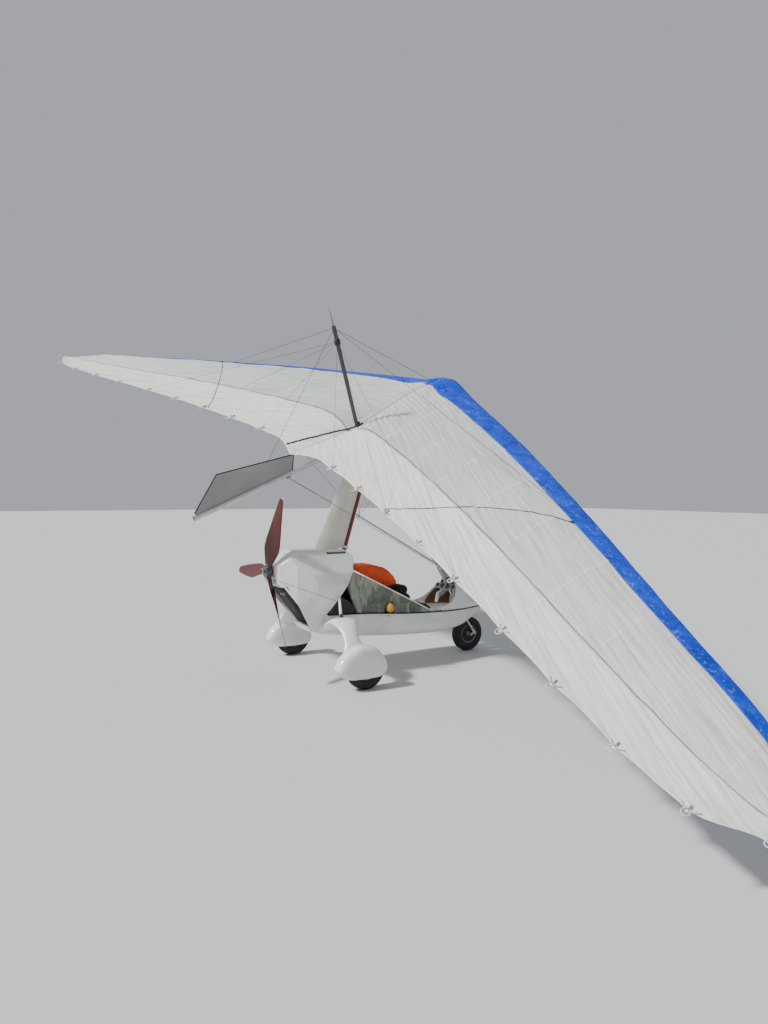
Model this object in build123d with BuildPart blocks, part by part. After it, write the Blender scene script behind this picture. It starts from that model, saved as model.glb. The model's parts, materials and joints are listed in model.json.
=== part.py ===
from build123d import *
import math
import os

os.makedirs("parts", exist_ok=True)

# Frame while modelling: X forward, Y to the left wing, Z up, ground at Z 0 under the main axle.
# Everything is in millimetres.

# Wheels and ground layout
track = 1672
wheelbase = 1882
tyre_radius = 200
tyre_width = 100
tyre_bore = 104
rim_width = 76
axle_radius = 10
axle_clearance = 0.3

# Wing attitude as parked: nose up, right tip low, hang point on the keel axis
hang_x = 530
hang_z = 2490
wing_pitch = 24.4
wing_roll = 21.4

# Wing frame: origin at the hang point on the keel axis, X forward along the keel
keel_radius = 27
keel_front = 1230
keel_wall = 2.5
keel_bore_length = 120
keel_rear = 2116
pivot_drop = 78
pivot_radius = 8
pivot_clearance = 0.3
running_gap = 0.3

# Sail stations from root to tip. Columns: y, leading edge x and z, trailing edge x and z, camber
stations = [
    (0, 1312, 92, -985, 200, 75),
    (180, 1250, 84, -930, 226, 130),
    (480, 1130, 72, -912, 246, 173),
    (1700, 632, 78, -1105, 281, 165),
    (2874, 70, 101, -1362, 316, 135),
    (4000, -512, 128, -1640, 350, 105),
    (4850, -955, 148, -1800, 375, 70),
    (5180, -1270, 178, -1690, 372, 26),
]
# Which station carries the junction of leading edge and side wires
junction_index = 4
split_fraction = 0.17
peak_fraction = 0.38
double_fraction = 0.68
reflex_fraction = 0.84
nose_share = 0.24
sail_thickness = 9
belly = 14

# Kingpost and control frame, in the wing frame
kingpost_x = -135
kingpost_top = 1282
kingpost_lean = 84
whip_radius = 5
whip_length = 200
kingpost_radius = 21
kingpost_hole = 30
frame_head_x = 110
bar_x = 128
bar_z = -1452
bar_half = 745
bar_radius = 14
upright_radius = 11
corner_size = 44
head_block = (64, 124)
head_height = 34
upright_spread = 46
wire_radius = 2
wire_grip = 16
rear_anchor_x = -1065
rear_wire_x = -1250
rear_wire_z = 215
fitting_height = 22
fitting_length = 60
fitting_width = 44
nose_anchor_x = keel_front - 50

nose_plate_length = 140
nose_plate_width = 64
nose_plate_reach = 100

# Keel pocket fin
fin_thickness = 24
fin_foot = 25
fin_outline = [(-1000, fin_foot), (-940, 180), (-1780, 330), (-2095, 45), (-2080, fin_foot)]

# Pylon, front strut and beam
pylon_foot_x = -12
pylon_radius = 26
fairing_top = 2230
fairing_base_chord = 330
fairing_top_chord = 185
fairing_half = 34
head_half_width = 19
head_reach = 46
head_flare = 24
eye_radius = 18
strut_foot = (wheelbase - 297, 800)
strut_head = (70, 0, -120)
strut_radius = 19
strut_tail = 213
bracket_half = 14
bracket_low = 90
bracket_nose = (36, 60)
bracket_crest = 6
shoe_rear = 45
shoe_front = 29
shoe_half = 28
beam_half = 30
beam_corner = 8
beam_z = 480
beam_front = wheelbase - 114
beam_rear = -200

# Pod stations. Columns: x, half width at the trim line, half width of the floor, floor z, trim z
pod_stations = [
    (-112, 250, 150, 411, 628),
    (300, 336, 225, 372, 626),
    (800, 350, 235, 334, 588),
    (wheelbase - 557, 322, 200, 312, 562),
    (wheelbase - 272, 262, 150, 338, 553),
    (wheelbase - 52, 180, 95, 407, 547),
    (wheelbase + 118, 100, 50, 480, 541),
    (wheelbase + 228, 30, 14, 512, 537),
]
pod_wall = 12
saddle_places = (240, wheelbase - 732)
saddle_length = 70
pod_corner = 0.42

# Nose deck stations. Columns: x, half width at the trim line, height above it
deck_stations = [
    (wheelbase - 602, 323, 330),
    (wheelbase - 342, 280, 356),
    (wheelbase - 162, 226, 330),
    (wheelbase - 42, 176, 236),
    (wheelbase + 108, 104, 106),
    (wheelbase + 224, 32, 18),
]
# Rear edge of the deck in side view: an arc through three points
deck_edge = [(wheelbase - 590, 602), (wheelbase - 382, 694), (wheelbase - 270, 893)]
# The deck's cross-section passes through this share of its half width and of its height
deck_shoulder_share = (0.74, 0.58)
trim_gap = 0.3

# Instrument panel, a slab that leans forward under the deck
panel_foot = (wheelbase - 397, 690)
panel_slope = 53
panel_height = 330
panel_thickness = 14
# Arches for the legs in the panel's lower edge
knee_arch_y = 120
knee_arch_radius = 88
# Dials. Columns: y, height up the panel, radius
dials = [(150, 120, 24), (92, 185, 30), (52, 115, 28), (-52, 115, 28), (-92, 185, 30), (-150, 120, 24)]
dial_depth = 8
console_half = 28
# Side view of the console between the legs: x from the panel's foot, z
console_outline = [(-80, beam_z + beam_half), (-12, beam_z + beam_half), (60, 760), (-38, 715)]

# Flyscreen on the deck: its foot, its width, its height and its lean
screen_foot = (wheelbase - 115, 720)
screen_span = 150
screen_reach = 300
screen_bow = 90
screen_sheet = 4

# Fuel filler on the right side
filler_centre = (574, 628)
filler_plate_radius = 46
filler_plate_thickness = 10
filler_neck_radius = 24
filler_neck_length = 74
filler_cap_radius = 16
filler_cap_length = 26
filler_tilt = 48

cowl_top = 1285
fairing_base = cowl_top + running_gap
# Engine cowl: side view (x, z), front view (half width, z) and plan view (x, half width)
cowl_side = [
    (-612, 960), (-612, 1140), (-489, 1240), (-405, cowl_top), (130, cowl_top),
    (200, 1217), (165, 1070), (-138, 545), (-200, 440), (-245, 440),
]
cowl_front = [(150, 1290), (235, 1215), (320, 1050), (345, 930), (310, 800), (130, 436)]
cowl_plan = [(-625, 165), (-450, 275), (-250, 335), (100, 345), (215, 282)]
# Outlet slot along the lower rear edge of the cowl: side view from top to bottom, and its width
cowl_slot = [(-560, 925), (-287, 538)]
cowl_slot_width = 24
cowl_wall = 10
seam_rear = (-700, 1029)
seam_front = (220, 673)
seam_gap = 0.6
pylon_hole_gap = 3
shaft_hole_gap = 20
engine_size = (330, 360, 330)
engine_centre = (-330, 0, 1010)
rail_height = 18
rail_width = 12

# Propeller
prop_x = -655
prop_z = 1078
prop_start_angle = 116
blade_count = 3
hub_radius = 62
hub_length = 56
shaft_radius = 17
# Blade sections. Columns: radius, chord, thickness, pitch angle in degrees
blade_sections = [
    (50, 62, 36, 48),
    (150, 118, 27, 43),
    (265, 172, 20, 37),
    (420, 156, 16, 30),
    (620, 112, 11, 22),
    (760, 74, 8, 18),
    (815, 34, 5, 16),
]
# A blade's outline in shares of its chord and thickness, from the trailing edge over the top
blade_outline = [
    (-0.5, 0), (-0.26, 0.36), (0.08, 0.5), (0.36, 0.32),
    (0.5, 0), (0.36, -0.32), (0.08, -0.5), (-0.26, -0.36),
]

# Main legs and spats. Columns: y, z, centre x, chord, thickness, lean in degrees
leg_sections = [
    (215, 490, -20, 270, 90, -50),
    (430, 588, -55, 290, 82, -16),
    (560, 596, -72, 268, 80, 18),
    (650, 560, -86, 212, 76, 45),
    (720, 505, -100, 176, 74, 60),
    (775, 440, -106, 172, 74, 74),
    (812, tyre_radius + 180, -84, 236, 80, 84),
    (826, tyre_radius + 150, -70, 290, 84, 88),
]
# Spat sections across its width. Columns: distance from the wheel's middle plane, scale
spat_sections = [(-90, 0.62), (-66, 0.95), (0, 1), (66, 0.95), (90, 0.62)]
spat_cavity_half = 62
spat_cavity_radius = tyre_radius + 11
spat_floor = tyre_radius - 82
# Side view of a spat from its tail over the top, in shares of the cavity radius about the wheel
spat_shape = {
    "tail": (-1.53, 0.07),
    "back": (-1.14, 0.70),
    "crest": (-0.37, 1.09),
    "brow": (0.67, 0.775),
    "front": (1.08, 0.07),
    "chin": (0.90, -0.34),
    "keel": (0.43, -0.51),
    "belly": (-0.85, -0.43),
}
spat_middle_share = (-0.237, 0.15)

# Suspension struts: lower and upper end on the left side
strut_tube_radius = 14
strut_tube_low = (-96, 530, 596)
strut_tube_high = (0, 300, 830)

# Nose fork
fork_rake = 18
fork_leg_radius = 13
fork_half = 72
fork_offset = 20
fork_knuckle = (56, 14)
fork_knuckle_radius = 16
fork_cap = 14
crown_drop = 6
crown_rise = 28
stem_radius = 16
stem_length = 108
head_start = 30
head_length = 70
head_radius = 27
arch_radius = 122
arch_reach = tyre_radius + 50
tow_bore_radius = 6
# Wheel section. The sidewall bulges to the full width at this share of the radius
tyre_bulge_fraction = 0.80
tyre_shoulder_fraction = 0.965
rim_flange = 12
rim_dish_radius = 84
rim_web_half = 8
wheel_hub_radius = 26
wheel_hub_half = 30

# Longer than any cut has to go
far_reach = 1500


def point(x, y, z):
    return Vector(x, y, z)


wing_rest = (
    Location((hang_x, 0, hang_z))
    * Location((0, 0, 0), (0, -wing_pitch, 0))
    * Location((0, 0, 0), (wing_roll, 0, 0))
)
hang_rest = Location((hang_x, 0, hang_z)) * Location((0, 0, 0), (0, -wing_pitch, 0))


def on_wing(plane):
    return Plane(wing_rest * plane.location)


def on_hang(plane):
    return Plane(hang_rest * plane.location)


def wing_point(x, y, z):
    return (wing_rest * Location((x, y, z))).position


def hang_point(x, y, z):
    return (hang_rest * Location((x, y, z))).position


def side_plane(y=0):
    # Local X forward, local Y up
    return Plane(origin=(0, y, 0), x_dir=(1, 0, 0), z_dir=(0, -1, 0))


def cross_plane(x):
    # Local X to the left wing, local Y up
    return Plane(origin=(x, 0, 0), x_dir=(0, 1, 0), z_dir=(1, 0, 0))


def rod(start, end, radius):
    # One straight round bar, added to the part that is being built
    with BuildSketch(Plane(origin=start, z_dir=end - start)) as disc:
        Circle(radius)
    extrude(disc.sketch, amount=(end - start).length)


pieces = {}


def keep(name, built):
    built.part.label = name
    pieces[name] = built


# Wing

def rib(station):
    y, le_x, le_z, te_x, te_z, camber = station
    chord = math.hypot(le_x - te_x, te_z - le_z)
    along = ((te_x - le_x) / chord, (te_z - le_z) / chord)

    def at(fraction, height):
        return (
            le_x + along[0] * chord * fraction + along[1] * height,
            le_z + along[1] * chord * fraction - along[0] * height,
        )

    nose = nose_share * camber + 14
    return {
        "nose": at(0, 0),
        "nose_top": at(nose / chord * 0.75, nose),
        "nose_bottom": at(nose / chord * 0.75, -nose * 0.7),
        "front_top": at(split_fraction * 0.5, 0.60 * camber + 8),
        "split_top": at(split_fraction, 0.86 * camber + 6),
        "split_bottom": at(split_fraction, -belly),
        "peak": at(peak_fraction, camber + 4),
        "double_top": at(double_fraction, 0.58 * camber),
        "double_bottom": at(double_fraction, 0.58 * camber - sail_thickness * 1.6),
        "reflex_top": at(reflex_fraction, 0.24 * camber),
        "reflex_bottom": at(reflex_fraction, 0.24 * camber - sail_thickness * 1.3),
        "tail_top": at(1, 0),
        "tail_bottom": at(1, -sail_thickness),
        "belly": at((split_fraction + double_fraction) / 2, 0.14 * camber - belly),
    }


kingpost_foot = wing_point(kingpost_x, 0, keel_radius - kingpost_radius)
kingpost_head = wing_point(kingpost_x - kingpost_lean, 0, kingpost_top)
kingpost_way = (kingpost_head - kingpost_foot).normalized()


def leading_edge(side):
    with BuildPart() as pocket:
        for station in stations:
            curve = rib(station)
            with BuildSketch(on_wing(side_plane(side * station[0]))):
                with BuildLine():
                    Line(curve["split_bottom"], curve["split_top"])
                    ThreePointArc(curve["split_top"], curve["front_top"], curve["nose_top"])
                    ThreePointArc(curve["nose_top"], curve["nose"], curve["nose_bottom"])
                    Line(curve["nose_bottom"], curve["split_bottom"])
                make_face()
        loft(ruled=True)
    return pocket


def sail(side):
    with BuildPart() as panel:
        for station in stations:
            curve = rib(station)
            with BuildSketch(on_wing(side_plane(side * station[0]))):
                with BuildLine():
                    ThreePointArc(curve["split_top"], curve["peak"], curve["double_top"])
                    ThreePointArc(curve["double_top"], curve["reflex_top"], curve["tail_top"])
                    Line(curve["tail_top"], curve["tail_bottom"])
                    ThreePointArc(curve["tail_bottom"], curve["reflex_bottom"], curve["double_bottom"])
                    ThreePointArc(curve["double_bottom"], curve["belly"], curve["split_bottom"])
                    Line(curve["split_bottom"], curve["split_top"])
                make_face()
        loft(ruled=True)
        with BuildSketch(Plane(origin=kingpost_foot, z_dir=kingpost_way)):
            Circle(kingpost_hole)
        extrude(amount=far_reach, mode=Mode.SUBTRACT)
    return panel


for side_name, side in (("left", 1), ("right", -1)):
    keep(f"leading_edge_{side_name}", leading_edge(side))
    keep(f"sail_{side_name}", sail(side))

with BuildPart() as keel_tube:
    rod(wing_point(-keel_rear, 0, 0), wing_point(keel_front, 0, 0), keel_radius)
    with BuildSketch(on_wing(cross_plane(-keel_rear))):
        Circle(keel_radius - keel_wall)
    extrude(amount=keel_bore_length, mode=Mode.SUBTRACT)
keep("keel_tube", keel_tube)

with BuildPart() as keel_fin:
    with BuildSketch(on_wing(side_plane(0))):
        Polygon(*fin_outline, align=None)
    extrude(amount=fin_thickness / 2, both=True)
    add(keel_tube.part, mode=Mode.SUBTRACT)
keep("keel_fin", keel_fin)

with BuildPart() as nose_plate:
    with BuildSketch(on_wing(Plane.XY)):
        with Locations((keel_front - nose_plate_length / 2, 0)):
            Rectangle(nose_plate_length, nose_plate_width)
    extrude(amount=nose_plate_reach)
    add(keel_tube.part, mode=Mode.SUBTRACT)
    for side_name in ("left", "right"):
        add(pieces[f"leading_edge_{side_name}"].part, mode=Mode.SUBTRACT)
keep("nose_plate", nose_plate)

with BuildPart() as kingpost:
    rod(kingpost_foot, kingpost_head, kingpost_radius)
    with BuildSketch(Plane(origin=kingpost_head, z_dir=kingpost_way)):
        Circle(whip_radius)
    extrude(amount=whip_length, taper=1)
    add(keel_tube.part, mode=Mode.SUBTRACT)
keep("kingpost", kingpost)

corner_y = bar_half + corner_size / 2
with BuildPart() as base_bar:
    rod(wing_point(bar_x, -bar_half, bar_z), wing_point(bar_x, bar_half, bar_z), bar_radius)
keep("base_bar", base_bar)

with BuildPart() as corner_fittings:
    for side in (1, -1):
        with BuildSketch(on_wing(Plane.XY.offset(bar_z - corner_size / 2))):
            with Locations((bar_x, side * corner_y)):
                RectangleRounded(corner_size, corner_size, 8)
        extrude(amount=corner_size)
keep("corner_fittings", corner_fittings)

head_drop = keel_radius + head_height
with BuildPart() as frame_head:
    with BuildSketch(on_wing(Plane.XY.offset(-head_drop))):
        with Locations((frame_head_x, 0)):
            RectangleRounded(*head_block, 10)
    extrude(amount=head_drop - keel_radius)
keep("frame_head", frame_head)

with BuildPart() as uprights:
    for side in (1, -1):
        rod(
            wing_point(frame_head_x, side * upright_spread, -head_drop + 10),
            wing_point(bar_x, side * corner_y, bar_z),
            upright_radius,
        )
    add(frame_head.part, mode=Mode.SUBTRACT)
    add(corner_fittings.part, mode=Mode.SUBTRACT)
keep("uprights", uprights)

with BuildPart() as keel_fittings:
    for x in (rear_anchor_x, nose_anchor_x):
        with BuildSketch(on_wing(Plane.XY.offset(-keel_radius - fitting_height))):
            with Locations((x, 0)):
                RectangleRounded(fitting_length, fitting_width, 8)
        extrude(amount=fitting_height)
keep("keel_fittings", keel_fittings)

junction_rib = rib(stations[junction_index])
junction_y = stations[junction_index][0]
nose_top = rib(stations[0])["front_top"]
fitting_z = -keel_radius - fitting_height / 2


def clear_of(*names):
    # What the named pieces fill is taken off, so that the ends seat on their faces
    for name in names:
        add(pieces[name].part, mode=Mode.SUBTRACT)


both_edges = ("leading_edge_left", "leading_edge_right")
with BuildPart() as lower_wires:
    for side in (1, -1):
        # Front wire, side wire and rear wire of one corner
        rod(
            wing_point(bar_x + wire_grip, side * corner_y, bar_z),
            wing_point(nose_anchor_x, side * wire_grip, fitting_z),
            wire_radius,
        )
        rod(
            wing_point(bar_x, side * (corner_y + wire_grip), bar_z),
            wing_point(
                junction_rib["split_bottom"][0] + 2 * wire_grip,
                side * junction_y,
                junction_rib["split_bottom"][1] + wire_grip,
            ),
            wire_radius,
        )
        rod(
            wing_point(bar_x - wire_grip, side * corner_y, bar_z),
            wing_point(rear_anchor_x, side * wire_grip, fitting_z),
            wire_radius,
        )
    clear_of("corner_fittings", "keel_fittings", *both_edges)
keep("lower_wires", lower_wires)

wire_drop = 20
wire_top = kingpost_head - kingpost_way * wire_drop
with BuildPart() as upper_wires:
    for side in (1, -1):
        rod(
            wire_top,
            wing_point(
                junction_rib["split_top"][0] + 2 * wire_grip,
                side * junction_y,
                junction_rib["split_top"][1] - wire_grip,
            ),
            wire_radius,
        )
    rod(wire_top, wing_point(nose_top[0], 0, nose_top[1] - wire_grip), wire_radius)
    rod(wire_top, wing_point(rear_wire_x, 0, rear_wire_z), wire_radius)
    clear_of("kingpost", "keel_fin", *both_edges)
keep("upper_wires", upper_wires)

# Hang bracket: a sleeve round the keel with two cheeks down to the pitch bolt

sleeve_outer = keel_radius + running_gap + 8
sleeve_half = 38
cheek_inner = head_half_width + running_gap
cheek_thickness = 6
with BuildPart() as hang_bracket:
    with BuildSketch(on_hang(cross_plane(-sleeve_half))):
        Circle(sleeve_outer)
        Circle(keel_radius + running_gap, mode=Mode.SUBTRACT)
    extrude(amount=2 * sleeve_half)
    for side in (1, -1):
        middle = side * (cheek_inner + cheek_thickness / 2)
        with BuildSketch(on_hang(side_plane(middle))):
            with BuildLine():
                Line((sleeve_half, -keel_radius + 6), (-sleeve_half, -keel_radius + 6))
                Line((-sleeve_half, -keel_radius + 6), (-20, -pivot_drop))
                ThreePointArc((-20, -pivot_drop), (0, -pivot_drop - 20), (20, -pivot_drop))
                Line((20, -pivot_drop), (sleeve_half, -keel_radius + 6))
            make_face()
        extrude(amount=cheek_thickness / 2, both=True)
    with BuildSketch(on_hang(cross_plane(-sleeve_half))):
        Circle(keel_radius + running_gap)
    extrude(amount=2 * sleeve_half, mode=Mode.SUBTRACT)
    rod(
        hang_point(0, -cheek_inner - cheek_thickness - 8, -pivot_drop),
        hang_point(0, cheek_inner + cheek_thickness + 8, -pivot_drop),
        pivot_radius,
    )
keep("hang_bracket", hang_bracket)

# Closed form of the engine cowl, before its seam and its wall


def cowl_solid(inset):
    with BuildPart() as shell:
        with BuildSketch(side_plane(0)):
            Polygon(*cowl_side, align=None)
            if inset:
                offset(amount=-inset)
        extrude(amount=far_reach, both=True)
        with BuildSketch(cross_plane(prop_x)):
            right_side = [(-half, z) for half, z in reversed(cowl_front)]
            Polygon(*cowl_front, *right_side, align=None)
            if inset:
                offset(amount=-inset)
        extrude(amount=far_reach, mode=Mode.INTERSECT)
        with BuildSketch(Plane.XY):
            far_side = [(x, -half) for x, half in reversed(cowl_plan)]
            Polygon(*cowl_plan, *far_side, align=None)
            if inset:
                offset(amount=-inset)
        extrude(amount=far_reach, mode=Mode.INTERSECT)
    return shell.part


outer_cowl = cowl_solid(0)
inner_cowl = cowl_solid(cowl_wall)

# Pylon, fairing, front strut and beam

pivot = hang_point(0, 0, -pivot_drop)
beam_top = beam_z + beam_half
foot = point(pylon_foot_x, 0, beam_top)
pylon_way = (pivot - foot).normalized()
tube_end = pivot - pylon_way * head_reach


def pylon_x(z):
    return foot.X + (z - foot.Z) * pylon_way.X / pylon_way.Z


with BuildPart() as pylon_tube:
    rod(foot - pylon_way * pylon_radius, tube_end, pylon_radius)
    split(bisect_by=Plane.XY.offset(beam_top), keep=Keep.TOP)
keep("pylon_tube", pylon_tube)

head_plane = Plane(origin=pivot, x_dir=(pylon_way.Z, 0, -pylon_way.X), z_dir=(0, -1, 0))
with BuildPart() as pylon_head:
    with BuildSketch(head_plane):
        with BuildLine():
            ThreePointArc((-eye_radius, 0), (0, eye_radius), (eye_radius, 0))
            Polyline(
                (eye_radius, 0),
                (head_flare, running_gap - head_reach),
                (-head_flare, running_gap - head_reach),
                (-eye_radius, 0),
            )
        make_face()
        Circle(pivot_radius + pivot_clearance, mode=Mode.SUBTRACT)
    extrude(amount=head_half_width, both=True)
keep("pylon_head", pylon_head)


def fairing_section(z, chord):
    front = pylon_x(z) - pylon_radius / pylon_way.Z - running_gap
    flat = pylon_radius * 0.7
    with BuildSketch(Plane.XY.offset(z)) as outline:
        with BuildLine():
            ThreePointArc((front, -flat), (front - chord * 0.4, -fairing_half), (front - chord, -3))
            Line((front - chord, -3), (front - chord, 3))
            ThreePointArc((front - chord, 3), (front - chord * 0.4, fairing_half), (front, flat))
            Line((front, flat), (front, -flat))
        make_face()
    return outline.sketch


with BuildPart() as pylon_fairing:
    loft(
        [
            fairing_section(fairing_base, fairing_base_chord),
            fairing_section(fairing_top, fairing_top_chord),
        ],
        ruled=True,
    )
keep("pylon_fairing", pylon_fairing)

strut_mark = point(strut_foot[0], 0, strut_foot[1])
strut_high = pivot + Vector(*strut_head)
strut_way = (strut_high - strut_mark).normalized()
strut_low = strut_mark - strut_way * strut_tail
with BuildPart() as front_strut:
    rod(strut_low, strut_high, strut_radius)
keep("front_strut", front_strut)

# Upper bracket between pylon and strut, lower bracket between strut and beam
seat_way = Vector(-strut_way.Z, 0, strut_way.X) * -1
with BuildPart() as strut_brackets:
    with BuildSketch(side_plane(0)):
        Polygon(
            (pylon_x(strut_high.Z - bracket_low), strut_high.Z - bracket_low),
            (strut_high.X + bracket_nose[0], strut_high.Z - bracket_nose[1]),
            (strut_high.X, strut_high.Z - bracket_crest),
            (pylon_x(strut_high.Z), strut_high.Z),
            align=None,
        )
    extrude(amount=bracket_half, both=True)
    add(pylon_tube.part, mode=Mode.SUBTRACT)
    add(front_strut.part, mode=Mode.SUBTRACT)
    with BuildSketch(side_plane(0)):
        Polygon(
            (strut_low.X - shoe_rear, beam_top),
            (strut_low.X + shoe_front, beam_top),
            (strut_low.X + seat_way.X * shoe_half, strut_low.Z + seat_way.Z * shoe_half),
            (strut_low.X - seat_way.X * shoe_half, strut_low.Z - seat_way.Z * shoe_half),
            align=None,
        )
    extrude(amount=strut_radius + 3, both=True)
keep("strut_brackets", strut_brackets)

rake = math.radians(fork_rake)
steer_axis = Vector(-math.sin(rake), 0, math.cos(rake))
axle_centre = point(wheelbase, 0, tyre_radius)
crown = axle_centre + steer_axis * (tyre_radius + crown_rise) + Vector(-fork_offset, 0, -crown_drop)
head_low = crown + steer_axis * head_start
with BuildPart() as chassis_beam:
    with BuildSketch(cross_plane(beam_rear)):
        with Locations((0, beam_z)):
            RectangleRounded(2 * beam_half, 2 * beam_half, beam_corner)
    extrude(amount=beam_front - beam_rear)
    rod(head_low, head_low + steer_axis * head_length, head_radius)
    with BuildSketch(Plane(origin=crown, z_dir=steer_axis)):
        Circle(stem_radius + running_gap)
    extrude(amount=far_reach, mode=Mode.SUBTRACT)
    add(outer_cowl, mode=Mode.SUBTRACT)
keep("chassis_beam", chassis_beam)

# Pod


def pod_column(x, column):
    # One column of the pod's table, read between its rows
    for near, far in zip(pod_stations, pod_stations[1:]):
        if near[0] <= x <= far[0]:
            share = (x - near[0]) / (far[0] - near[0])
            return near[column] + share * (far[column] - near[column])
    return pod_stations[-1][column]


def rim_half(x):
    return pod_column(x, 1)


def trim_height(x):
    return pod_column(x, 4)


filler_x, filler_z = filler_centre
filler_face = rim_half(filler_x)


def pod_section(station, inset):
    x, half, floor_half, floor, trim = station
    half = max(half - inset, 4)
    floor_half = max(floor_half - inset, 2)
    low = min(floor + inset, trim - 4)
    bend = pod_corner * (trim - low)
    with BuildSketch(cross_plane(x)) as outline:
        with BuildLine():
            Line((-half, trim), (half, trim))
            Line((half, trim), (half * 0.97, low + bend))
            ThreePointArc((half * 0.97, low + bend), (half * 0.87, low + bend * 0.32), (floor_half, low))
            Line((floor_half, low), (-floor_half, low))
            ThreePointArc((-floor_half, low), (-half * 0.87, low + bend * 0.32), (-half * 0.97, low + bend))
            Line((-half * 0.97, low + bend), (-half, trim))
        make_face()
    return outline.sketch


with BuildPart() as pod_form:
    loft([pod_section(station, 0) for station in pod_stations], ruled=True)
with BuildPart() as pod_inside:
    loft([pod_section(station, pod_wall) for station in pod_stations[:-2]], ruled=True)
with BuildPart() as pod_tub:
    add(pod_form.part)
    add(pod_inside.part, mode=Mode.SUBTRACT)
    # Arch over the steered wheel, and the seat of the filler plate
    with BuildSketch(Plane(origin=crown - steer_axis * tyre_radius, z_dir=steer_axis)):
        Circle(arch_radius)
    extrude(amount=arch_reach, mode=Mode.SUBTRACT)
    with BuildSketch(side_plane(-filler_face / 2)):
        with Locations(filler_centre):
            Circle(filler_plate_radius + trim_gap)
    extrude(amount=filler_face, mode=Mode.SUBTRACT)
keep("pod_tub", pod_tub)

# Blocks that carry the beam on the floor of the pod
with BuildPart() as beam_saddles:
    for x in saddle_places:
        with BuildSketch(Plane.XY.offset(beam_z - beam_half)):
            with Locations((x, 0)):
                Rectangle(saddle_length, 2 * beam_half)
        extrude(amount=-beam_z)
    add(pod_inside.part, mode=Mode.INTERSECT)
keep("beam_saddles", beam_saddles)


def deck_section(station, inset):
    x, half, height = station
    base = trim_height(x) + trim_gap
    half = half - inset
    height = height - inset
    shoulder = (half * deck_shoulder_share[0], base + height * deck_shoulder_share[1])
    with BuildSketch(cross_plane(x)) as outline:
        with BuildLine():
            Line((-half, base), (half, base))
            ThreePointArc((half, base), shoulder, (0, base + height))
            ThreePointArc((0, base + height), (-shoulder[0], shoulder[1]), (-half, base))
        make_face()
    return outline.sketch


with BuildPart() as deck_form:
    loft([deck_section(station, 0) for station in deck_stations], ruled=True)
with BuildPart() as deck_inside:
    loft([deck_section(station, pod_wall) for station in deck_stations[:-2]], ruled=True)
with BuildPart() as nose_deck:
    add(deck_form.part)
    add(deck_inside.part, mode=Mode.SUBTRACT)
    # The open cockpit behind the deck's swept edge
    with BuildSketch(side_plane(0)):
        with BuildLine():
            ThreePointArc(*deck_edge)
            Polyline(
                deck_edge[2],
                (deck_edge[2][0], far_reach),
                (deck_edge[0][0] - far_reach, far_reach),
                (deck_edge[0][0] - far_reach, beam_z),
                (deck_edge[0][0], beam_z),
                deck_edge[0],
            )
        make_face()
    extrude(amount=far_reach, both=True, mode=Mode.SUBTRACT)
    with BuildSketch(Plane(origin=strut_low, z_dir=strut_way)):
        Circle(strut_radius + running_gap)
    extrude(amount=far_reach, mode=Mode.SUBTRACT)
keep("nose_deck", nose_deck)

lean = math.radians(panel_slope)
panel_plane = Plane(
    origin=(panel_foot[0], 0, panel_foot[1]),
    x_dir=(0, 1, 0),
    z_dir=(math.sin(lean), 0, -math.cos(lean)),
)
with BuildPart() as instrument_panel:
    with BuildSketch(panel_plane):
        with Locations((0, panel_height / 2)):
            Rectangle(2 * deck_stations[0][1], panel_height)
        with Locations((knee_arch_y, 0), (-knee_arch_y, 0)):
            Circle(knee_arch_radius, mode=Mode.SUBTRACT)
    extrude(amount=panel_thickness)
    with BuildSketch(panel_plane):
        for y, height, radius in dials:
            with Locations((y, height)):
                Circle(radius)
    extrude(amount=-dial_depth)
    add(deck_inside.part, mode=Mode.INTERSECT)
    with BuildSketch(Plane(origin=strut_low, z_dir=strut_way)):
        Circle(strut_radius + running_gap)
    extrude(amount=far_reach, mode=Mode.SUBTRACT)
keep("instrument_panel", instrument_panel)

with BuildPart() as centre_console:
    with BuildSketch(side_plane(0)):
        Polygon(*[(panel_foot[0] + x, z) for x, z in console_outline], align=None)
    extrude(amount=console_half, both=True)
    add(instrument_panel.part, mode=Mode.SUBTRACT)
    split(bisect_by=panel_plane, keep=Keep.BOTTOM)
keep("centre_console", centre_console)

screen_lean = math.radians(25)
with BuildPart() as windscreen:
    with BuildSketch(
        Plane(
            origin=(screen_foot[0] - screen_bow / 2, 0, screen_foot[1]),
            x_dir=(0, -1, 0),
            z_dir=(-math.sin(screen_lean), 0, math.cos(screen_lean)),
        )
    ):
        with BuildLine():
            ThreePointArc((-screen_span, 0), (0, screen_bow), (screen_span, 0))
            Line((screen_span, 0), (screen_span - 2, -screen_sheet))
            ThreePointArc(
                (screen_span - 2, -screen_sheet),
                (0, screen_bow - screen_sheet),
                (2 - screen_span, -screen_sheet),
            )
            Line((2 - screen_span, -screen_sheet), (-screen_span, 0))
        make_face()
    extrude(amount=screen_reach)
    add(deck_form.part, mode=Mode.SUBTRACT)
keep("windscreen", windscreen)

# Side screens and black rear infill panels, both standing on the rim of the pod
screen_edge = [(190, 640), (78, 955), (158, 1070), (815, 738), (1050, 628)]
infill_edge = [(-78, 632), (-10, 812), (188, 640)]
# The infill's last stretch is an arc through this point
infill_bulge = (118, 752)
screen_inset = 4
screen_thickness = 4


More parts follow.
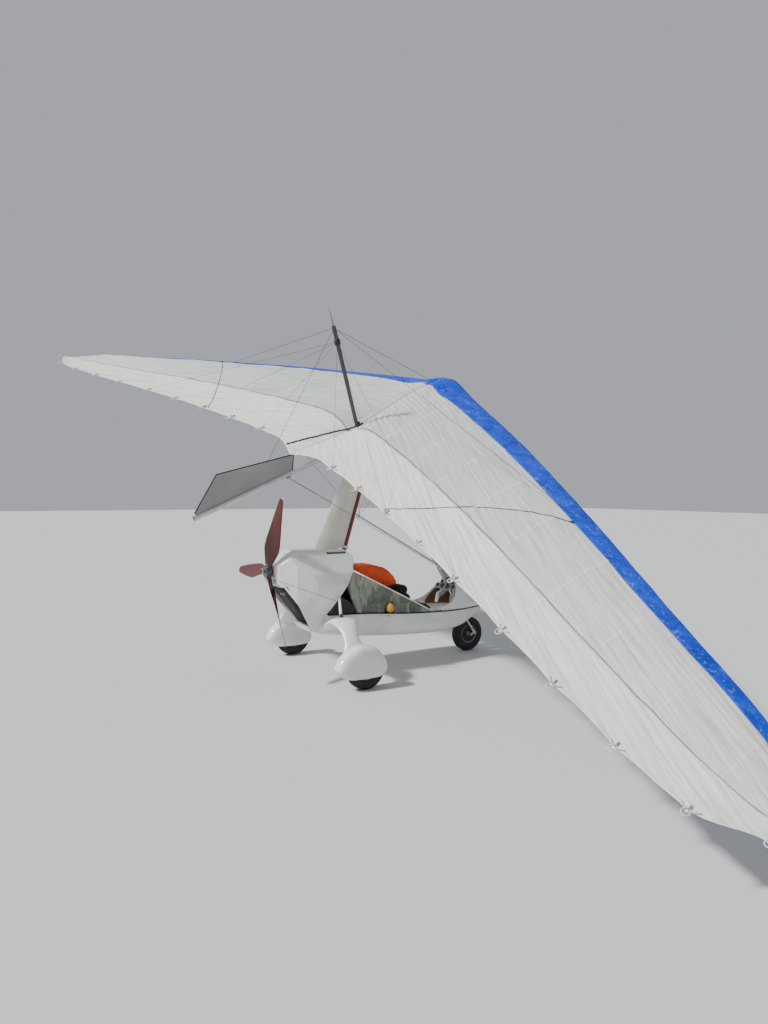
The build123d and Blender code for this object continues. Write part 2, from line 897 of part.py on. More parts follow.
def rim_sheet(edge, side, bulge=None):
    # A thin sheet over the pod's rim, cut in side view to its edge and to the trim line
    left, right = edge[0][0], edge[-1][0]
    under = [left] + [row[0] for row in pod_stations if left < row[0] < right] + [right]
    foot_line = [(x, trim_height(x) + trim_gap) for x in reversed(under)]
    ends = [min(x for x, z in edge) - 1, max(x for x, z in edge) + 1]
    along = [ends[0]] + [row[0] for row in pod_stations if ends[0] < row[0] < ends[1]] + [ends[1]]
    outer = [(x, side * (rim_half(x) - screen_inset)) for x in along]
    inner = [(x, side * (rim_half(x) - screen_inset - screen_thickness)) for x in reversed(along)]
    with BuildPart() as sheet:
        with BuildSketch(Plane.XY.offset(beam_z)):
            Polygon(*outer, *inner, align=None)
        extrude(amount=far_reach)
        with BuildSketch(side_plane(0)):
            with BuildLine():
                if bulge:
                    Polyline(*edge[:-1])
                    ThreePointArc(edge[-2], bulge, edge[-1])
                else:
                    Polyline(*edge)
                Polyline(edge[-1], *foot_line, edge[0])
            make_face()
        extrude(amount=far_reach, both=True, mode=Mode.INTERSECT)
        add(outer_cowl, mode=Mode.SUBTRACT)
    return sheet.part


with BuildPart() as side_screens:
    for side in (1, -1):
        add(rim_sheet(screen_edge, side))
    with BuildSketch(side_plane(-filler_face / 2)):
        with Locations(filler_centre):
            Circle(filler_plate_radius + trim_gap)
    extrude(amount=filler_face, mode=Mode.SUBTRACT)
keep("side_screens", side_screens)

with BuildPart() as rear_infills:
    for side in (1, -1):
        add(rim_sheet(infill_edge, side, infill_bulge))
keep("rear_infills", rear_infills)

# Seats
seat_foot = beam_top
rear_seat_outline = [
    (250, seat_foot), (235, 1025), (300, 1076), (470, 1080), (660, 1030), (770, 925), (792, 860),
    (735, 830), (520, 800), (560, seat_foot),
]
front_seat_outline = [
    (760, seat_foot), (790, 825), (850, 852), (912, 838), (955, 780), (985, 625),
    (1230, 600), (1240, seat_foot),
]
rear_seat_half = 190
front_seat_half = 200
for name, outline, half in (
    ("rear_seat", rear_seat_outline, rear_seat_half),
    ("front_seat", front_seat_outline, front_seat_half),
):
    with BuildPart() as seat:
        with BuildSketch(side_plane(0)):
            Polygon(*outline, align=None)
        extrude(amount=half, both=True)
    keep(name, seat)

# Engine, cowls and propeller


def seam_cut(upper):
    # Everything on one side of the slanting seam, taken away
    shift = seam_gap / 2 if upper else -seam_gap / 2
    end = -far_reach if upper else far_reach
    with BuildSketch(side_plane(0)) as cutter:
        with BuildLine():
            Polyline(
                (seam_rear[0], seam_rear[1] + shift),
                (seam_front[0], seam_front[1] + shift),
                (seam_front[0], seam_front[1] + end),
                (seam_rear[0], seam_rear[1] + end),
                (seam_rear[0], seam_rear[1] + shift),
            )
        make_face()
    extrude(cutter.sketch, amount=far_reach, both=True, mode=Mode.SUBTRACT)


engine_floor = engine_centre[2] - engine_size[2] / 2
engine_rear = engine_centre[0] - engine_size[0] / 2
rail_front = pylon_x(engine_floor) + pylon_radius
with BuildPart() as engine_mount:
    for side in (1, -1):
        with BuildSketch(Plane.XY.offset(engine_floor - rail_height)):
            with Locations(((engine_rear + rail_front) / 2, side * (pylon_radius + rail_width / 2))):
                Rectangle(rail_front - engine_rear, rail_width)
        extrude(amount=rail_height)
keep("engine_mount", engine_mount)

slot_front = [(x + cowl_slot_width, z) for x, z in reversed(cowl_slot)]
for name, upper in (("upper_cowl", True), ("lower_cowl", False)):
    with BuildPart() as cowl:
        add(outer_cowl)
        add(inner_cowl, mode=Mode.SUBTRACT)
        seam_cut(upper)
        # Way through for the pylon tube and the shaft
        with BuildSketch(Plane(origin=foot - pylon_way * pylon_radius, z_dir=pylon_way)):
            Circle(pylon_radius + pylon_hole_gap)
        extrude(amount=2 * far_reach, mode=Mode.SUBTRACT)
        with BuildSketch(cross_plane(prop_x)):
            with Locations((0, prop_z)):
                Circle(shaft_radius + shaft_hole_gap)
        extrude(amount=engine_size[0], mode=Mode.SUBTRACT)
        add(engine_mount.part, mode=Mode.SUBTRACT)
        with BuildSketch(side_plane(0)):
            Polygon(*cowl_slot, *slot_front, align=None)
        extrude(amount=far_reach, both=True, mode=Mode.SUBTRACT)
    keep(name, cowl)

with BuildPart() as engine_block:
    with BuildSketch(Plane.XY.offset(engine_centre[2] - engine_size[2] / 2)):
        with Locations((engine_centre[0], 0)):
            Rectangle(engine_size[0], engine_size[1])
    extrude(amount=engine_size[2])
keep("engine_block", engine_block)

with BuildPart() as propeller_shaft:
    rod(point(engine_rear, 0, prop_z), point(prop_x - hub_length / 2 - 12, 0, prop_z), shaft_radius)
keep("propeller_shaft", propeller_shaft)

with BuildPart() as propeller_hub:
    with BuildSketch(cross_plane(prop_x - hub_length / 2)):
        with Locations((0, prop_z)):
            Circle(hub_radius)
            Circle(shaft_radius + running_gap, mode=Mode.SUBTRACT)
    extrude(amount=hub_length)
keep("propeller_hub", propeller_hub)


def blade(angle):
    # Sections stand across the blade, their chords twisted from the disc towards the shaft
    turn = math.radians(angle)
    out = Vector(0, math.cos(turn), math.sin(turn))
    round_way = Vector(0, -math.sin(turn), math.cos(turn))
    with BuildPart() as built:
        for radius, chord, thickness, pitch in blade_sections:
            twist = math.radians(pitch)
            chord_way = Vector(math.sin(twist), 0, 0) + round_way * math.cos(twist)
            centre = point(prop_x, 0, prop_z) + out * radius
            with BuildSketch(Plane(origin=centre, x_dir=chord_way, z_dir=out)):
                Polygon(*[(along * chord, across * thickness) for along, across in blade_outline], align=None)
        loft(ruled=True)
        add(propeller_hub.part, mode=Mode.SUBTRACT)
    return built.part


with BuildPart() as propeller_blades:
    for index in range(blade_count):
        add(blade(prop_start_angle + index * 360 / blade_count))
keep("propeller_blades", propeller_blades)

# Wheels


def wheel(x, y):
    middle = Plane(origin=(x, y, tyre_radius), x_dir=(1, 0, 0), z_dir=(0, 0, 1))
    axis = Axis((x, y, tyre_radius), (0, 1, 0))
    half = tyre_width / 2
    bead = rim_width / 2
    bore = axle_radius + axle_clearance
    bulge = tyre_radius * tyre_bulge_fraction
    shoulder = tyre_radius * tyre_shoulder_fraction
    with BuildPart() as tyre:
        with BuildSketch(middle):
            with BuildLine():
                Polyline(
                    (tyre_bore, -bead),
                    (tyre_bore, bead),
                    (bulge, half),
                    (shoulder, half * 0.7),
                    (tyre_radius, 0),
                    (shoulder, -half * 0.7),
                    (bulge, -half),
                    (tyre_bore, -bead),
                )
            make_face()
        revolve(axis=axis)
    with BuildPart() as rim:
        with BuildSketch(middle):
            with BuildLine():
                Polyline(
                    (bore, -wheel_hub_half),
                    (wheel_hub_radius, -wheel_hub_half),
                    (wheel_hub_radius, -rim_web_half),
                    (rim_dish_radius, -rim_web_half),
                    (tyre_bore - rim_flange, -bead),
                    (tyre_bore, -bead),
                    (tyre_bore, bead),
                    (tyre_bore - rim_flange, bead),
                    (rim_dish_radius, rim_web_half),
                    (wheel_hub_radius, rim_web_half),
                    (wheel_hub_radius, wheel_hub_half),
                    (bore, wheel_hub_half),
                    (bore, -wheel_hub_half),
                )
            make_face()
        revolve(axis=axis)
    return tyre, rim


for wheel_name, wheel_x, wheel_y in (
    ("left", 0, track / 2),
    ("right", 0, -track / 2),
    ("nose", wheelbase, 0),
):
    tyre, rim = wheel(wheel_x, wheel_y)
    keep(f"tyre_{wheel_name}", tyre)
    keep(f"rim_{wheel_name}", rim)

# Spats, legs, struts and axles, a left and a right one in each node


def spat_section(y, scale):
    # Side view of the spat, shrunk about its own middle
    middle_x, middle_z = spat_middle_share

    def at(name):
        across, up = spat_shape[name]
        return (
            spat_cavity_radius * (middle_x + (across - middle_x) * scale),
            tyre_radius + spat_cavity_radius * (middle_z + (up - middle_z) * scale),
        )

    with BuildSketch(side_plane(y)) as outline:
        with BuildLine():
            ThreePointArc(at("tail"), at("back"), at("crest"))
            ThreePointArc(at("crest"), at("brow"), at("front"))
            ThreePointArc(at("front"), at("chin"), at("keel"))
            ThreePointArc(at("keel"), at("belly"), at("tail"))
        make_face()
    return outline.sketch


def spat_form(wheel_y):
    with BuildPart() as closed:
        loft([spat_section(wheel_y + shift, scale) for shift, scale in spat_sections], ruled=True)
    return closed.part


def spat(wheel_y):
    with BuildPart() as shell:
        add(spat_form(wheel_y))
        with BuildSketch(side_plane(wheel_y)):
            with Locations((0, tyre_radius)):
                Circle(spat_cavity_radius)
        extrude(amount=spat_cavity_half, both=True, mode=Mode.SUBTRACT)
        with BuildSketch(Plane.XY):
            with Locations((0, wheel_y)):
                Rectangle(4 * spat_cavity_radius, 4 * spat_cavity_half)
        extrude(amount=spat_floor, mode=Mode.SUBTRACT)
    return shell.part


def leg(side):
    with BuildPart() as built:
        for y, z, x, chord, thickness, lean in leg_sections:
            turn = math.radians(lean)
            along = Vector(0, side * math.cos(turn), -math.sin(turn))
            with BuildSketch(Plane(origin=(x, side * y, z), x_dir=(1, 0, 0), z_dir=along)):
                Ellipse(chord / 2, thickness / 2)
        loft(ruled=True)
        add(pod_form.part, mode=Mode.SUBTRACT)
        add(spat_form(side * track / 2), mode=Mode.SUBTRACT)
    return built.part


with BuildPart() as spats:
    for side in (1, -1):
        add(spat(side * track / 2))
keep("spats", spats)

with BuildPart() as legs:
    for side in (1, -1):
        add(leg(side))
keep("legs", legs)

with BuildPart() as suspension_struts:
    for side in (1, -1):
        ends = [point(x, side * y, z) for x, y, z in (strut_tube_low, strut_tube_high)]
        rod(*ends, strut_tube_radius)
    add(outer_cowl, mode=Mode.SUBTRACT)
    add(legs.part, mode=Mode.SUBTRACT)
keep("suspension_struts", suspension_struts)

with BuildPart() as stub_axles:
    for side in (1, -1):
        rod(
            point(0, side * track / 2 - spat_cavity_half, tyre_radius),
            point(0, side * track / 2 + spat_cavity_half, tyre_radius),
            axle_radius,
        )
keep("stub_axles", stub_axles)

# Nose fork: stem through the beam's front end, two legs down to the axle
with BuildPart() as nose_fork:
    for side in (1, -1):
        # A leg down to a knuckle ahead of the axle, and the trailing link back to the axle
        out = Vector(0, side * fork_half, 0)
        knuckle = axle_centre + Vector(fork_knuckle[0], side * fork_half, fork_knuckle[1])
        eye = Vector(0, fork_leg_radius + 3, 0)
        rod(knuckle, crown + out, fork_leg_radius)
        rod(axle_centre + out, knuckle, fork_leg_radius - 2)
        rod(knuckle - eye, knuckle + eye, fork_knuckle_radius)
        rod(axle_centre + out - eye, axle_centre + out + eye, fork_knuckle_radius)
    rod(
        crown + Vector(0, -fork_half - fork_cap, 0),
        crown + Vector(0, fork_half + fork_cap, 0),
        fork_leg_radius + 3,
    )
    rod(crown, crown + steer_axis * stem_length, stem_radius)
    with BuildSketch(side_plane(0)):
        with Locations((wheelbase, tyre_radius)):
            Circle(axle_radius)
    extrude(amount=2 * fork_half, both=True, mode=Mode.SUBTRACT)
keep("nose_fork", nose_fork)

axle_half = fork_half + fork_leg_radius + 6
with BuildPart() as nose_axle:
    rod(axle_centre + Vector(0, -axle_half, 0), axle_centre + Vector(0, axle_half, 0), axle_radius)
    with BuildSketch(side_plane(0)):
        with Locations((wheelbase, tyre_radius)):
            Circle(tow_bore_radius)
    extrude(amount=axle_half, both=True, mode=Mode.SUBTRACT)
keep("nose_axle", nose_axle)

# Fuel filler: a plate in its round recess, a neck that leans out of it and a cap
tilt = math.radians(filler_tilt)
neck_way = Vector(0, -math.cos(tilt), math.sin(tilt))
plate_back = point(filler_x, filler_plate_thickness + 4 - filler_face, filler_z)
plate_face = plate_back - Vector(0, filler_plate_thickness, 0)
neck_root = plate_back - Vector(0, filler_plate_thickness / 2, 0)
neck_top = plate_face + neck_way * filler_neck_length
with BuildPart() as fuel_filler:
    rod(plate_back, plate_face, filler_plate_radius)
    rod(neck_root, neck_top, filler_neck_radius)
    rod(neck_top, neck_top + neck_way * filler_cap_length, filler_cap_radius)
keep("fuel_filler", fuel_filler)

# The finished model stands on its lowest point with the middle of its box over the origin
boxes = [built.part.bounding_box() for built in pieces.values()]
low = [min(tuple(box.min)[axis] for box in boxes) for axis in range(3)]
high = [max(tuple(box.max)[axis] for box in boxes) for axis in range(3)]
to_origin = Location((-(low[0] + high[0]) / 2, -(low[1] + high[1]) / 2, -low[2]))
for name, built in pieces.items():
    built.part = built.part.moved(to_origin)
    built.part.label = name
    export_step(built.part, f"parts/{name}.step")
print("box", low, high, "moved by", to_origin.position)
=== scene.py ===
import bpy
import bmesh
import json
import math
from mathutils import Euler, Matrix, Vector, noise


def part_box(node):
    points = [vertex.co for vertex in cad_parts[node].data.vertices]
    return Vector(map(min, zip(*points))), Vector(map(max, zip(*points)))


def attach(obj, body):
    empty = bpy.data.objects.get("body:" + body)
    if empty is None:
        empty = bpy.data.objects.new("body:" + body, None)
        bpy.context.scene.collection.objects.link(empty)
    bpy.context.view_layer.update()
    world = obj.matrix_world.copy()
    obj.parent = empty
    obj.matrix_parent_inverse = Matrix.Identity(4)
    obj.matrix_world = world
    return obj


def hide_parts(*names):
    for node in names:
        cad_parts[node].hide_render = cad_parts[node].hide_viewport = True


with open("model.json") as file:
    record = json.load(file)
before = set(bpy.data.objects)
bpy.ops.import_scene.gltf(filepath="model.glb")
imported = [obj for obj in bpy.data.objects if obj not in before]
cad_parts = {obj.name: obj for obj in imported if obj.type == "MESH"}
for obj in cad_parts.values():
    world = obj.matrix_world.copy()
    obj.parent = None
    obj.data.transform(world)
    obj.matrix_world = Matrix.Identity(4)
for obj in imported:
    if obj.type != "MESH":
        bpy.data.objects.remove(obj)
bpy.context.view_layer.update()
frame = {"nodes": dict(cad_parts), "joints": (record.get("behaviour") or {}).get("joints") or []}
nodes = frame["nodes"]
joints = {joint["name"]: joint for joint in frame["joints"]}
scene = bpy.context.scene
leftRight = (("left", 1), ("right", -1))
print("stage: frame loaded,", len(nodes), "nodes")


def jointSpot(name):
    return Vector(joints[name]["pos_m"])


# What the frame says about where things are
hangPoint = jointSpot("wing_roll")
pitchPivot = jointSpot("wing_pitch")
propCentre = jointSpot("propeller_spin")
keelWay = -Vector(joints["wing_roll"]["axis"]).normalized()
wingRoll = math.radians(joints["wing_roll"]["range_deg"][1] / 2)
centreY = sum(joints[f"main_wheel_{name}_spin"]["pos_m"][1] for name, side in leftRight) / 2
# From the trike's own frame, X 0 at the main axle, Y 0 in the middle
trikeShift = Vector((jointSpot("main_wheel_left_spin").x, centreY, 0))

# Wing frame: X forward along the keel, Y to the left, Z up from the keel, origin at the hang point
wingMatrix = (
    Matrix.Translation(hangPoint)
    @ Matrix.Rotation(-math.atan2(keelWay.z, keelWay.x), 4, "Y")
    @ Matrix.Rotation(wingRoll, 4, "X")
)


def trikePoint(x, y, z):
    return Vector((x, y, z)) + trikeShift


def wingPoint(x, y, z):
    return wingMatrix @ Vector((x, y, z))


# Numbers and smooth lines


def between(low, high, count):
    # Evenly spaced numbers, both ends included
    return [low + (high - low) * index / (count - 1) for index in range(count)]


def turns(count):
    return [2 * math.pi * index / count for index in range(count)]


def around(first, second, angle):
    return first * math.cos(angle) + second * math.sin(angle)


def bell(distance, width):
    return math.exp(-((distance / width) ** 2))


def step(low, high, value):
    t = min(max((value - low) / (high - low), 0), 1)
    return t * t * (3 - 2 * t)


def smoothValue(knots, where):
    # A cubic through the knots, straight beyond them
    index = 0
    while index < len(knots) - 2 and where > knots[index + 1][0]:
        index += 1
    slopes = []
    for knot in (index, index + 1):
        before, after = max(knot - 1, 0), min(knot + 1, len(knots) - 1)
        slopes.append((knots[after][1] - knots[before][1]) / (knots[after][0] - knots[before][0]))
    (x0, y0), (x1, y1) = knots[index], knots[index + 1]
    width = x1 - x0
    t = (where - x0) / width
    if t < 0 or t > 1:
        return y0 + slopes[0] * (where - x0) if t < 0 else y1 + slopes[1] * (where - x1)
    return (
        y0 * (1 + 2 * t) * (1 - t) ** 2
        + slopes[0] * width * t * (1 - t) ** 2
        + y1 * t * t * (3 - 2 * t)
        + slopes[1] * width * t * t * (t - 1)
    )


def rowValue(rows, where, column):
    # One column of a table whose first column says where
    return smoothValue([(row[0], row[column]) for row in rows], where)


def smoothRow(marks, rows, where):
    # Every column, for rows that lie at the marks
    return [smoothValue(list(zip(marks, column)), where) for column in zip(*rows)]


def curvePoints(knots, count):
    # Evenly spaced points on a smooth line through the knots
    marks = [0.0]
    for near, far in zip(knots, knots[1:]):
        marks.append(marks[-1] + (far - near).length)
    return [Vector(smoothRow(marks, knots, mark)) for mark in between(0, marks[-1], count)]


def ripples(first, second, rows):
    # Noise over two directions. Columns: scale along each, place in the noise, share
    return sum(
        part * noise.noise(Vector((first * wide, second * long, depth))) for wide, long, depth, part in rows
    )


# Finishes: every one is a tree of nodes on Object coordinates or the cloth's own UV maps
class Tree:
    def __init__(self, name):
        self.material = bpy.data.materials.new(name)
        self.material.use_nodes = True
        self.nodes = self.material.node_tree.nodes
        self.links = self.material.node_tree.links
        self.shader = self.nodes["Principled BSDF"]
        self.place = self.nodes.new("ShaderNodeTexCoord").outputs["Object"]

    def feed(self, socket, value):
        if isinstance(value, bpy.types.NodeSocket):
            self.links.new(value, socket)
        else:
            socket.default_value = value

    def add(self, kind, values=(), **inputs):
        node = self.nodes.new(kind)
        for name, value in dict(values).items():
            setattr(node, name, value)
        for name, value in inputs.items():
            self.feed(node.inputs[name.replace("_", " ")], value)
        return node

    def mapped(self, scale=(1, 1, 1), turn=(0, 0, 0), of=None):
        return self.add("ShaderNodeMapping", Vector=of or self.place, Scale=scale, Rotation=turn).outputs[0]

    def noise(self, scale, detail=4, rough=0.55, where=None, twist=0):
        return self.add(
            "ShaderNodeTexNoise", Vector=where or self.place, Scale=scale, Detail=detail, Roughness=rough,
            Distortion=twist,
        ).outputs[0]

    def ramp(self, value, stops):
        node = self.add("ShaderNodeValToRGB", Fac=value)
        band = node.color_ramp
        for element, (where, colour) in zip(band.elements, (stops[0], stops[-1])):
            element.position, element.color = where, (*colour, 1)
        for where, colour in stops[1:-1]:
            band.elements.new(where).color = (*colour, 1)
        return node.outputs[0]

    def spread(self, value, low, high, toLow, toHigh):
        node = self.nodes.new("ShaderNodeMapRange")
        for socket, number in zip(node.inputs[:5], (value, low, high, toLow, toHigh)):
            self.feed(socket, number)
        return node.outputs[0]

    def math(self, operation, first, second=0.0):
        node = self.add("ShaderNodeMath", {"operation": operation})
        for socket, value in zip(node.inputs, (first, second)):
            self.feed(socket, value)
        return node.outputs[0]

    def distance(self, value, where):
        return self.math("ABSOLUTE", self.math("SUBTRACT", value, where))

    def mix(self, share, first, second):
        node = self.add("ShaderNodeMix", {"data_type": "RGBA"})
        for index, value in ((0, share), (6, first), (7, second)):
            self.feed(node.inputs[index], value)
        return node.outputs[2]

    def bump(self, height, strength, distance, under=None):
        node = self.add("ShaderNodeBump", Height=height, Strength=strength, Distance=distance)
        if under:
            self.links.new(under, node.inputs["Normal"])
        return node.outputs[0]

    def finish(self, colour=None, rough=None, normal=None, **constants):
        for name, socket in (("Base Color", colour), ("Roughness", rough), ("Normal", normal)):
            if socket is not None:
                self.links.new(socket, self.shader.inputs[name])
        for name, value in constants.items():
            self.shader.inputs[name.replace("_", " ")].default_value = value
        return self.material


def newObject(name, data):
    made = bpy.data.objects.new(name, data)
    scene.collection.objects.link(made)
    return made


def newMesh(name, shape):
    mesh = bpy.data.meshes.new(name)
    shape.to_mesh(mesh)
    shape.free()
    return mesh


# Camera
cameraView = {
    "place": (-3.362, -6.637, 1.891),  # in the trike's own frame
    "forward": (0.523, 0.852, -0.030),
    "rollDegrees": 0.33,
    "lens": 24.89,
    "sensor": 36,
    "farEnd": 200,
}


def makeCamera():
    data = bpy.data.cameras.new("camera")
    data.sensor_fit = "VERTICAL"
    data.sensor_height = cameraView["sensor"]
    data.lens = cameraView["lens"]
    data.clip_end = cameraView["farEnd"]
    camera = newObject("camera", data)
    turn = Vector(cameraView["forward"]).to_track_quat("-Z", "Y").to_matrix().to_4x4()
    roll = Matrix.Rotation(math.radians(cameraView["rollDegrees"]), 4, "Z")
    camera.matrix_world = Matrix.Translation(trikePoint(*cameraView["place"])) @ turn @ roll
    scene.camera = camera


# Floor, light and world
studio = {
    "floorSize": 60,
    "floorColour": (0.62, 0.62, 0.61),
    "floorRough": 0.9,
    "worldColour": (0.86, 0.90, 0.96),
    "worldStrength": 0.50,
    "sunStrength": 4.6,
    "sunTurn": (47, 0, -97),
    "sunAngle": 5,
}


def makeStudio():
    shape = bmesh.new()
    bmesh.ops.create_grid(shape, x_segments=1, y_segments=1, size=studio["floorSize"])
    floor = newObject("floor", newMesh("floor", shape))
    paint = Tree("floorFinish").finish(Base_Color=(*studio["floorColour"], 1), Roughness=studio["floorRough"])
    floor.data.materials.append(paint)
    world = bpy.data.worlds.new("studio")
    world.use_nodes = True
    back = world.node_tree.nodes["Background"]
    back.inputs["Color"].default_value = (*studio["worldColour"], 1)
    back.inputs["Strength"].default_value = studio["worldStrength"]
    scene.world = world
    light = bpy.data.lights.new("sun", "SUN")
    light.energy = studio["sunStrength"]
    light.angle = math.radians(studio["sunAngle"])
    newObject("sun", light).rotation_euler = Euler([math.radians(a) for a in studio["sunTurn"]])


makeCamera()
makeStudio()
print("stage: camera, floor and light")

# Plain hard finishes. Columns: colour, roughness, metal, coat, mottle scale, bump depth in mm
hardFinishes = {
    "gelcoat": ((0.80, 0.80, 0.77), 0.22, 0, 0.5, 3, 0.05),
    "alloy": ((0.62, 0.63, 0.64), 0.32, 0.9, 0, 9, 0.03),
    "darkAlloy": ((0.07, 0.075, 0.08), 0.38, 0.6, 0, 12, 0.03),
    "steel": ((0.36, 0.37, 0.38), 0.30, 0.9, 0, 30, 0.03),
    "fairing": ((0.72, 0.68, 0.60), 0.45, 0, 0, 4, 0.15),
    "maroonPaint": ((0.16, 0.004, 0.008), 0.28, 0, 0.4, 8, 0.03),
    "maroonBlade": ((0.085, 0.002, 0.004), 0.26, 0, 0.30, 6, 0.03),
    "hubGrey": ((0.10, 0.10, 0.11), 0.35, 0.5, 0, 14, 0.05),
    "castIron": ((0.06, 0.06, 0.06), 0.6, 0.4, 0, 18, 0.3),
    "blackPlastic": ((0.012, 0.012, 0.013), 0.45, 0, 0, 25, 0.08),
    "greyPlastic": ((0.40, 0.41, 0.41), 0.5, 0, 0, 30, 0.1),
    "wire": ((0.030, 0.032, 0.035), 0.5, 0.3, 0, 60, 0.02),
    "brownLining": ((0.16, 0.075, 0.035), 0.8, 0, 0, 30, 0.3),
    "rimGrey": ((0.17, 0.175, 0.18), 0.38, 0.3, 0.2, 16, 0.05),
    "orangeCloth": ((0.80, 0.085, 0.012), 0.7, 0, 0, 9, 0.5),
    "blackCloth": ((0.016, 0.016, 0.018), 0.8, 0, 0, 12, 0.5),
    "tyreRubber": ((0.018, 0.018, 0.019), 0.75, 0, 0, 20, 0.3),
    "yellowPlastic": ((0.62, 0.30, 0.01), 0.35, 0, 0.3, 20, 0.05),
    "dialFace": ((0.02, 0.02, 0.022), 0.3, 0, 0.6, 40, 0.02),
}


def shade(colour, factor):
    return tuple(min(c * factor, 1) for c in colour)


def hardFinish(name):
    colour, rough, metal, coat, scale, depth = hardFinishes[name]
    tree = Tree(name)
    broad = tree.noise(scale, 5, 0.6)
    fine = tree.noise(scale * 14, 3, 0.5)
    tint = tree.ramp(broad, [(0.3, shade(colour, 0.86)), (0.55, colour), (0.75, shade(colour, 1.08))])
    grime = tree.spread(fine, 0.3, 0.7, rough * 0.85, min(rough * 1.25, 1))
    normal = tree.bump(fine, 0.35, depth / 1000)
    return tree.finish(tint, grime, normal, Metallic=metal, Coat_Weight=coat, Coat_Roughness=0.08)


def clearSheet(name, colour, alpha, rough, light=None):
    tree = Tree(name)
    creases = tree.noise(7, 6, 0.7)
    fog = tree.spread(creases, 0.3, 0.8, rough * 0.6, rough * 1.5)
    constants = {"Alpha": alpha, "Specular_IOR_Level": 0.8}
    if not light:
        constants["Base_Color"] = (*colour, 1)
        return tree.finish(None, fog, tree.bump(creases, 0.6, 0.006), Coat_Weight=0.4, **constants)
    # With a light colour, the sheet's colour is painted reflection: the dark base stands for reflected
    # surroundings, and pale streaks of the light colour along the folds are painted highlights
    folds = tree.noise(1, 3, 0.5, tree.mapped((8, 2, 2.0), (0, 0.7, 0)), 0.8)
    stops = [(0.34, colour), (0.50, shade(colour, 1.6)), (0.60, light), (0.70, shade(colour, 1.7))]
    streaks, normal = tree.ramp(folds, stops), tree.bump(folds, 0.7, 0.02)
    return tree.finish(streaks, fog, normal, Coat_Weight=0.5, **constants)


def clothFinish(name, colour, mottle):
    tree = Tree(name)
    broad = tree.noise(1.7, 6, 0.6)
    threads = (tree.noise(420, 2, 0.5, tree.mapped(way)) for way in ((1, 0.06, 1), (0.06, 1, 1)))
    weave = tree.math("ADD", *threads)
    stops = [(0.3, shade(colour, 1 - mottle)), (0.5, colour), (0.72, shade(colour, 1 + mottle))]
    tint = tree.ramp(broad, stops)
    return tree.finish(tint, None, tree.bump(weave, 0.3, 0.0006), Roughness=0.72, Sheen_Weight=0.2)


finishes = {name: hardFinish(name) for name in hardFinishes}
# Painted reflection: the dark green is reflected surroundings, and the pale fold streaks are painted
# highlights
finishes["clearScreen"] = clearSheet("clearScreen", (0.10, 0.125, 0.09), 0.60, 0.10, (0.40, 0.44, 0.36))
finishes["smokeScreen"] = clearSheet("smokeScreen", (0.16, 0.10, 0.06), 0.6, 0.08)
finishes["finCloth"] = clothFinish("finCloth", (0.30, 0.30, 0.29), 0.16)
finishes["creamTape"] = clothFinish("creamTape", (0.78, 0.77, 0.71), 0.08)
finishes["creamCord"] = clothFinish("creamCord", (0.70, 0.69, 0.64), 0.2)

nodeFinish = {
    "gelcoat": "pod_tub nose_deck upper_cowl lower_cowl spats legs suspension_struts",
    "fairing": "pylon_fairing",
    "alloy": "keel_tube base_bar uprights corner_fittings keel_fittings frame_head hang_bracket "
    "chassis_beam front_strut pylon_head nose_plate strut_brackets engine_mount beam_saddles "
    "stub_axles nose_axle nose_fork",
    "darkAlloy": "kingpost",
    "wire": "lower_wires upper_wires",
    "maroonPaint": "pylon_tube",
    "maroonBlade": "propeller_blades",
    "hubGrey": "propeller_hub propeller_shaft",
    "castIron": "engine_block",
    "tyreRubber": "tyre_left tyre_right tyre_nose",
    "rimGrey": "rim_left rim_right rim_nose",
    "blackPlastic": "rear_infills fuel_filler",
    "greyPlastic": "instrument_panel centre_console",
    "clearScreen": "side_screens",
    "smokeScreen": "windscreen",
    "orangeCloth": "rear_seat",
    "blackCloth": "front_seat",
    "finCloth": "keel_fin",
}


def dressNodes():
    for finish, names in nodeFinish.items():
        for name in names.split():
            mesh = nodes[name].data
            mesh.materials.clear()
            mesh.materials.append(finishes[finish])


dressNodes()
print("stage: finishes on the nodes")

# Pieces and their walls


def addPiece(name, shape, finish, body="airframe", replaced=(), smooth=True):
    mesh = newMesh(name, shape)
    if smooth:
        mesh.shade_smooth()
    mesh.materials.append(finishes[finish])
    piece = newObject(name, mesh)
    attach(piece, body)
    if replaced:
        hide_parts(*replaced)
    return piece


def modify(piece, kind, **settings):
    modifier = piece.modifiers.new(kind.lower(), kind)
    for name, value in settings.items():
        setattr(modifier, name, value)
    return modifier


def settle(piece):
    # The piece as its modifiers leave it
    view = bpy.context.evaluated_depsgraph_get()
    mesh = bpy.data.meshes.new_from_object(piece.evaluated_get(view))
    piece.modifiers.clear()
    piece.data = mesh


def solidify(piece, thickness, offset=-1.0):
    modify(piece, "SOLIDIFY", thickness=thickness, offset=offset)


def cutAway(piece, cutters):
    for cutter in cutters:
        tool = newObject("cutter", newMesh("cutter", cutter))
        modify(piece, "BOOLEAN", operation="DIFFERENCE", solver="EXACT", object=tool)
        settle(piece)
        bpy.data.objects.remove(tool)


def blend3d(piece, voxel, times):
    # One skin over everything in the piece, then evened out
    modify(piece, "REMESH", mode="VOXEL", voxel_size=voxel, use_smooth_shade=True)
    modify(piece, "SMOOTH", factor=0.5, iterations=times)
    settle(piece)


def faceOut(shape):
    bmesh.ops.recalc_face_normals(shape, faces=shape.faces[:])


def flip(shape):
    bmesh.ops.reverse_faces(shape, faces=shape.faces[:])


def gridShape(across, up, spot):
    # A grid whose points lie where spot puts them, u and v from 0 to 1
    shape = bmesh.new()
    bmesh.ops.create_grid(shape, x_segments=across, y_segments=up, size=0.5)
    for vert in shape.verts:
        vert.co = spot(vert.co.x + 0.5, vert.co.y + 0.5)
    return shape


